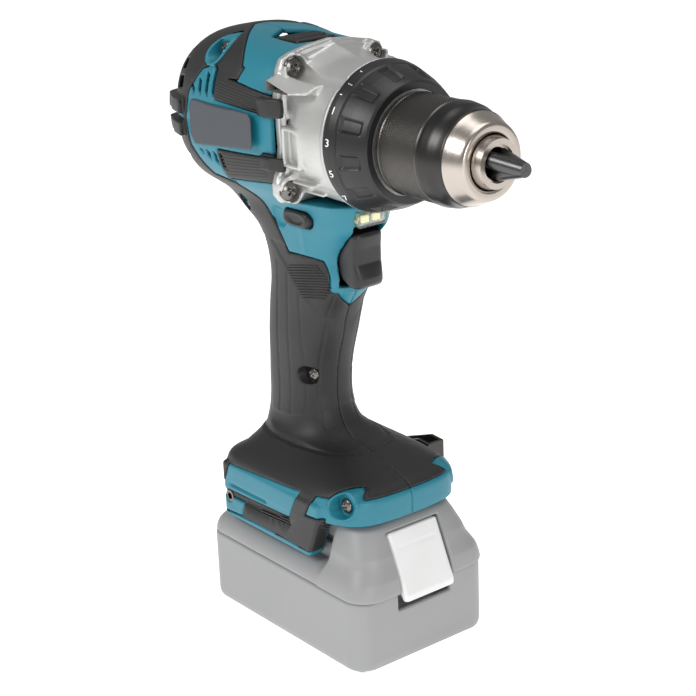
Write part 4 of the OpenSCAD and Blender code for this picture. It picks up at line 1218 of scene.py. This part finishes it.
# ------------------------------------------------------------------ battery pack

PACK_BACK, PACK_FRONT = float(PACK_LOW[0]), float(PACK_HIGH[0])
PACK_HALF_W = float(PACK_HIGH[1])
# Sloping front of the pack: z, front, half-width.
HUMP = [[SEAM_Z + 0.4, 59.5, 35.5], [44, 58.7, 34.8], [54, 55, 32.6], [61, 51.2, 30], [66.2, 48, 27.7]]
BUTTON_SIDE = [[50.6, 62], [62.4, 35.4], [62.4, 32.4], [60, 31.6], [53.4, 40], [42, 58], [44, 61.6]]


LATCH_SIDE = [[34, 62.6], [34, 40], [50, 28], [70, 26], [70, 62.6]]


def pack_block(x, y, z, top, r):
    """The pack's plain block, its edges rounded to r."""
    plan = block(x, y, 0, (PACK_BACK, -PACK_HALF_W, -99), (PACK_FRONT, PACK_HALF_W, 99), 10)
    return smooth_max(plan, between(z, 0, top), r)


def latch_room(x, y, z):
    """The pocket that the release button and its catch work in."""
    room = np.maximum(outline_field(x, z, LATCH_SIDE), np.abs(y) - 15.3)
    return np.minimum(room, block(x, y, z, (38.5, -7.5, 60), (46.6, 7.5, 72)))


def lower_case(x, y, z):
    outer = pack_block(x, y, z, SEAM_Z + 30, 6)
    form = smooth_max(outer, z - SEAM_Z + 0.05, 1.4)
    foot_step = block(x, y, z, (PACK_BACK - 9, -PACK_HALF_W - 9, -9), (PACK_FRONT + 9, PACK_HALF_W + 9, 2.2))
    form = np.maximum(form, -np.maximum(foot_step, -(form + 0.9)))
    form = np.maximum(form, -(outer + WALL))
    for px, py in ((-51, 32), (51, 32)):    # screw wells in the base
        form = cut(form, np.maximum(rod(x, np.abs(y), px, py, 3.2), z - 2.2), 0.3)
        form = cut(form, rod(x, np.abs(y), px, py, 1.6) + np.maximum(z - 5, 0), 0.2)
    form = cut(form, latch_room(x, y, z), 0.8)
    wide, corner = np.abs(y), (45.4, -1, 24.6)          # a liner keeps the pocket closed to the cells
    liner = np.minimum(block(x, wide, z, corner, (46.8, 16.6, 41)),
                       block(x, wide, z, corner, (57, 16.6, 26.2)))
    return np.minimum(form, np.minimum(liner, block(x, wide, z, (45.4, 15.4, 24.6), (57, 16.6, 35.6))))


def upper_case(x, y, z):
    wide = np.abs(y)
    outer = pack_block(x, y, z, 45.8, 12)
    front = np.interp(z, [h[0] for h in HUMP], [h[1] for h in HUMP])
    half = np.interp(z, [h[0] for h in HUMP], [h[2] for h in HUMP])
    hump = smooth_max(smooth_max(x - front, wide - half, 14), 31.5 - x, 1.0)
    hump = smooth_max(hump, z - HUMP[-1][0], 2.4)
    form = smooth_min(outer, hump, 6.0)
    tower = np.maximum(np.maximum(wide - 27.6, between(x, -43, 33)), z - 65.6)
    form = np.minimum(form, tower)
    form = smooth_max(form, SEAM_Z + 0.07 - z, 1.4)
    form = np.maximum(form, -np.maximum(outer + WALL, z - 41.5))
    form = np.maximum(form, -block(x, y, z, (-39, -24, SEAM_Z + 4), (28, 24, 60)))
    rail = np.maximum(np.maximum(24.8 - wide, between(z, 53.6, 57.4)), x - 31)
    form = np.maximum(form, -rail)
    for slot_y in (6, 15):          # contact slots
        form = np.maximum(form, -block(x, wide, z, (-44, slot_y - 1.6, 58), (-14, slot_y + 1.6, 70)))
    form = np.maximum(form, -block(x, y, z, (-60, -16.4, SEAM_Z + 0.5), (-56.6, 16.4, SEAM_Z + 7)))
    return cut(form, latch_room(x, y, z), 0.8)


def button(x, y, z):
    """The white release button with its finger groove, and the catch on it."""
    face = smooth_max(outline_field(x, z, BUTTON_SIDE, -0.1), np.abs(y) - 14.8, 2.4)
    groove = np.maximum(rod(x, z, 55.2, 55.6, 1.6), np.abs(y) - 11)
    face = cut(face, groove, 0.8)
    return np.minimum(face, block(x, y, z, (40, -7, 50), (46, 7, 69.6), 0.8))


def make_pack():
    low = (PACK_BACK - 1, -PACK_HALF_W - 1, -1)
    moulding("pack_bottom", lower_case, low, (PACK_FRONT + 1, PACK_HALF_W + 1, SEAM_Z + 1), PACK_GREY, "pack",
             ["pack_lower_case"], STEP * 1.2)
    moulding("pack_top", upper_case, (PACK_BACK - 1, -PACK_HALF_W - 1, SEAM_Z - 1), (61, PACK_HALF_W + 1, 68),
             PACK_GREY, "pack", ["pack_upper_case"], STEP * 1.1)
    moulding("pack_button", button, (39, -15.6, 30.6), (63.4, 15.6, 70.6), WHITE, "pack_latch",
             ["pack_latch"], STEP)


make_pack()

# ------------------------------------------------------------------ plate, ribs, colours of the inner parts


BAND_RIBS, RIB_R, FINE_RIB_R = 7, 0.55, 0.42
RIB_PATCH = [[-8.7, 176], [11, 179.8], [18, 175.6], [21.6, 170.6], [15.4, 164.8], [-1, 161.6], [-11.4, 172]]
FOOT_PAD = [[-26, 58], [8, 62.8], [19.8, 67.8], [32.6, 69.2], [22.4, 51], [-1, 51.2], [-27, 53]]
BAND_END_PLAN = [[-3, 32.6], [1.6, 32.2], [1.9, 31.7], [6.4, 31.7], [6.4, 30], [9.8, 30], [9.4, 33.0],
                 [4, 35.4],
                 [-3, 35.8]]


def plate(x, y, z):
    """The blank plate on the right flank."""
    return smooth_max(outline_field(x, z, PLATE_OUTLINE, -0.5), np.abs(y + 37.5) - 0.3, 0.1)


def make_plate_and_ribs():
    moulding("blank_plate", plate, (-53, -38.1, 226), (-3, -36.9, 250), PLATE, "tool",
             ["rating_plate"],
             0.4, 0.3)
    for side, word in ((-1, "right"), (1, "left")):
        band = []
        for i in range(BAND_RIBS):
            share = (i + 0.5) / BAND_RIBS
            band.append(laid(body, (-31.5, 250.6 + 8.6 * share), (-2.5, 247.2 + 8.0 * share), side, 0.1))
            band.append(laid(body, (-30, 215.4 + 11.4 * share), (-4, 218.6 + 9.6 * share), side, 0.1))
        ribs(f"band_ribs_{word}", band, RIB_R, RUBBER, "tool")
        lines = [laid(body, a, b, side, 0.0, slanted=True) for a, b in clipped(2, RIB_PATCH, 0.22, 1.25, 0.5)]
        ribs(f"grip_ribs_{word}", lines, FINE_RIB_R, RUBBER, "tool")
        lines = [laid(body, a, b, side, 0.1) for a, b in clipped(2, FOOT_PAD, 0.06, 1.3, 0.5)]
        ribs(f"foot_ribs_{word}", lines, FINE_RIB_R, RUBBER, "tool")


make_plate_and_ribs()


def end_blocks(side):
    """The rubber blocks at the front ends of the two bands on one flank."""
    def field(x, y, z):
        across = smooth_max(outline_field(x, side * y, BAND_END_PLAN, -0.15), -1, 0.2)
        upper, lower = between(z, 246.9, 255.2), between(z, 223.6, 229.5)
        return smooth_max(across, np.minimum(upper, lower), 1.0)
    return field


for side, word in ((-1, "right"), (1, "left")):
    near, far = sorted((side * 30, side * 37))
    moulding(f"band_ends_{word}", end_blocks(side), (-9, near - 0.6, 222.6), (10.6, far + 0.6, 256), RUBBER,
             "tool", ())

FINISHES = [
    (LAMINATED, "stator_core rotor_core"), (COPPER, "stator_windings"),
    (BOARD, "sensor_board lamp_board controller pack_board"),
    (BRIGHT_STEEL, "motor_shaft motor_bearings bearing_plate spindle spindle_bearing latch_spring"),
    (GEAR_STEEL, "ring_gears planet_1a planet_1b planet_1c planet_carrier planet_2a planet_2b planet_2c"),
    (GEAR_STEEL, "clutch_spring"),
    (BLACK, "cooling_fan switch_body terminal_block gauge_button"), (CHUCK_STEEL, "chuck_body"),
    (BLACK_STEEL, "chuck_nut"), (HOOK_STEEL, "belt_hook"), (JAW_STEEL, "jaw_a jaw_b jaw_c"),
            (WIRE, "motor_leads"),
    (BRASS, "pack_contacts"), (CELL_WRAP, "pack_cells"), (GAUGE, "gauge_panel"),
    (DARK_SCREW, "hook_screw pack_screws hook_inserts")]
for finish, names in FINISHES:
    for name in names.split():
        for place in nodes[name].material_slots:
            place.material = finish

# ------------------------------------------------------------------ floor, light and the end


SKY = 0.36
FLOOR_HALF, FLOOR_Z = 4000, -0.1
LAMPS = [("key", (-0.1, -1.2, 1.1), 0.6, 11), ("front", (1.3, -0.3, 0.5), 0.5, 5),
         ("top", (0.2, 0.2, 1.5), 0.9, 6)]
AIM = Vector((0, 0, 0.15))


def make_studio():
    world = bpy.data.worlds.new("studio")
    world.use_nodes = True
    world.node_tree.nodes["Background"].inputs["Color"].default_value = (1, 1, 1, 1)
    world.node_tree.nodes["Background"].inputs["Strength"].default_value = SKY
    bpy.context.scene.world = world
    bpy.context.scene.view_settings.view_transform = "Standard"
    corners = [(sx * FLOOR_HALF, sy * FLOOR_HALF, FLOOR_Z) for sx, sy in ((-1, -1), (1, -1), (1, 1), (-1, 1))]
    mesh_from("floor", np.array(corners), np.array([[0, 1, 2, 3]]), studio_floor())
    for name, place, size, power in LAMPS:
        lamp = bpy.data.lights.new(name, "AREA")
        lamp.size = size
        lamp.energy = power
        light = bpy.data.objects.new(name, lamp)
        bpy.context.scene.collection.objects.link(light)
        light.location = place
        light.rotation_euler = (AIM - Vector(place)).to_track_quat("-Z", "Y").to_euler()


make_studio()
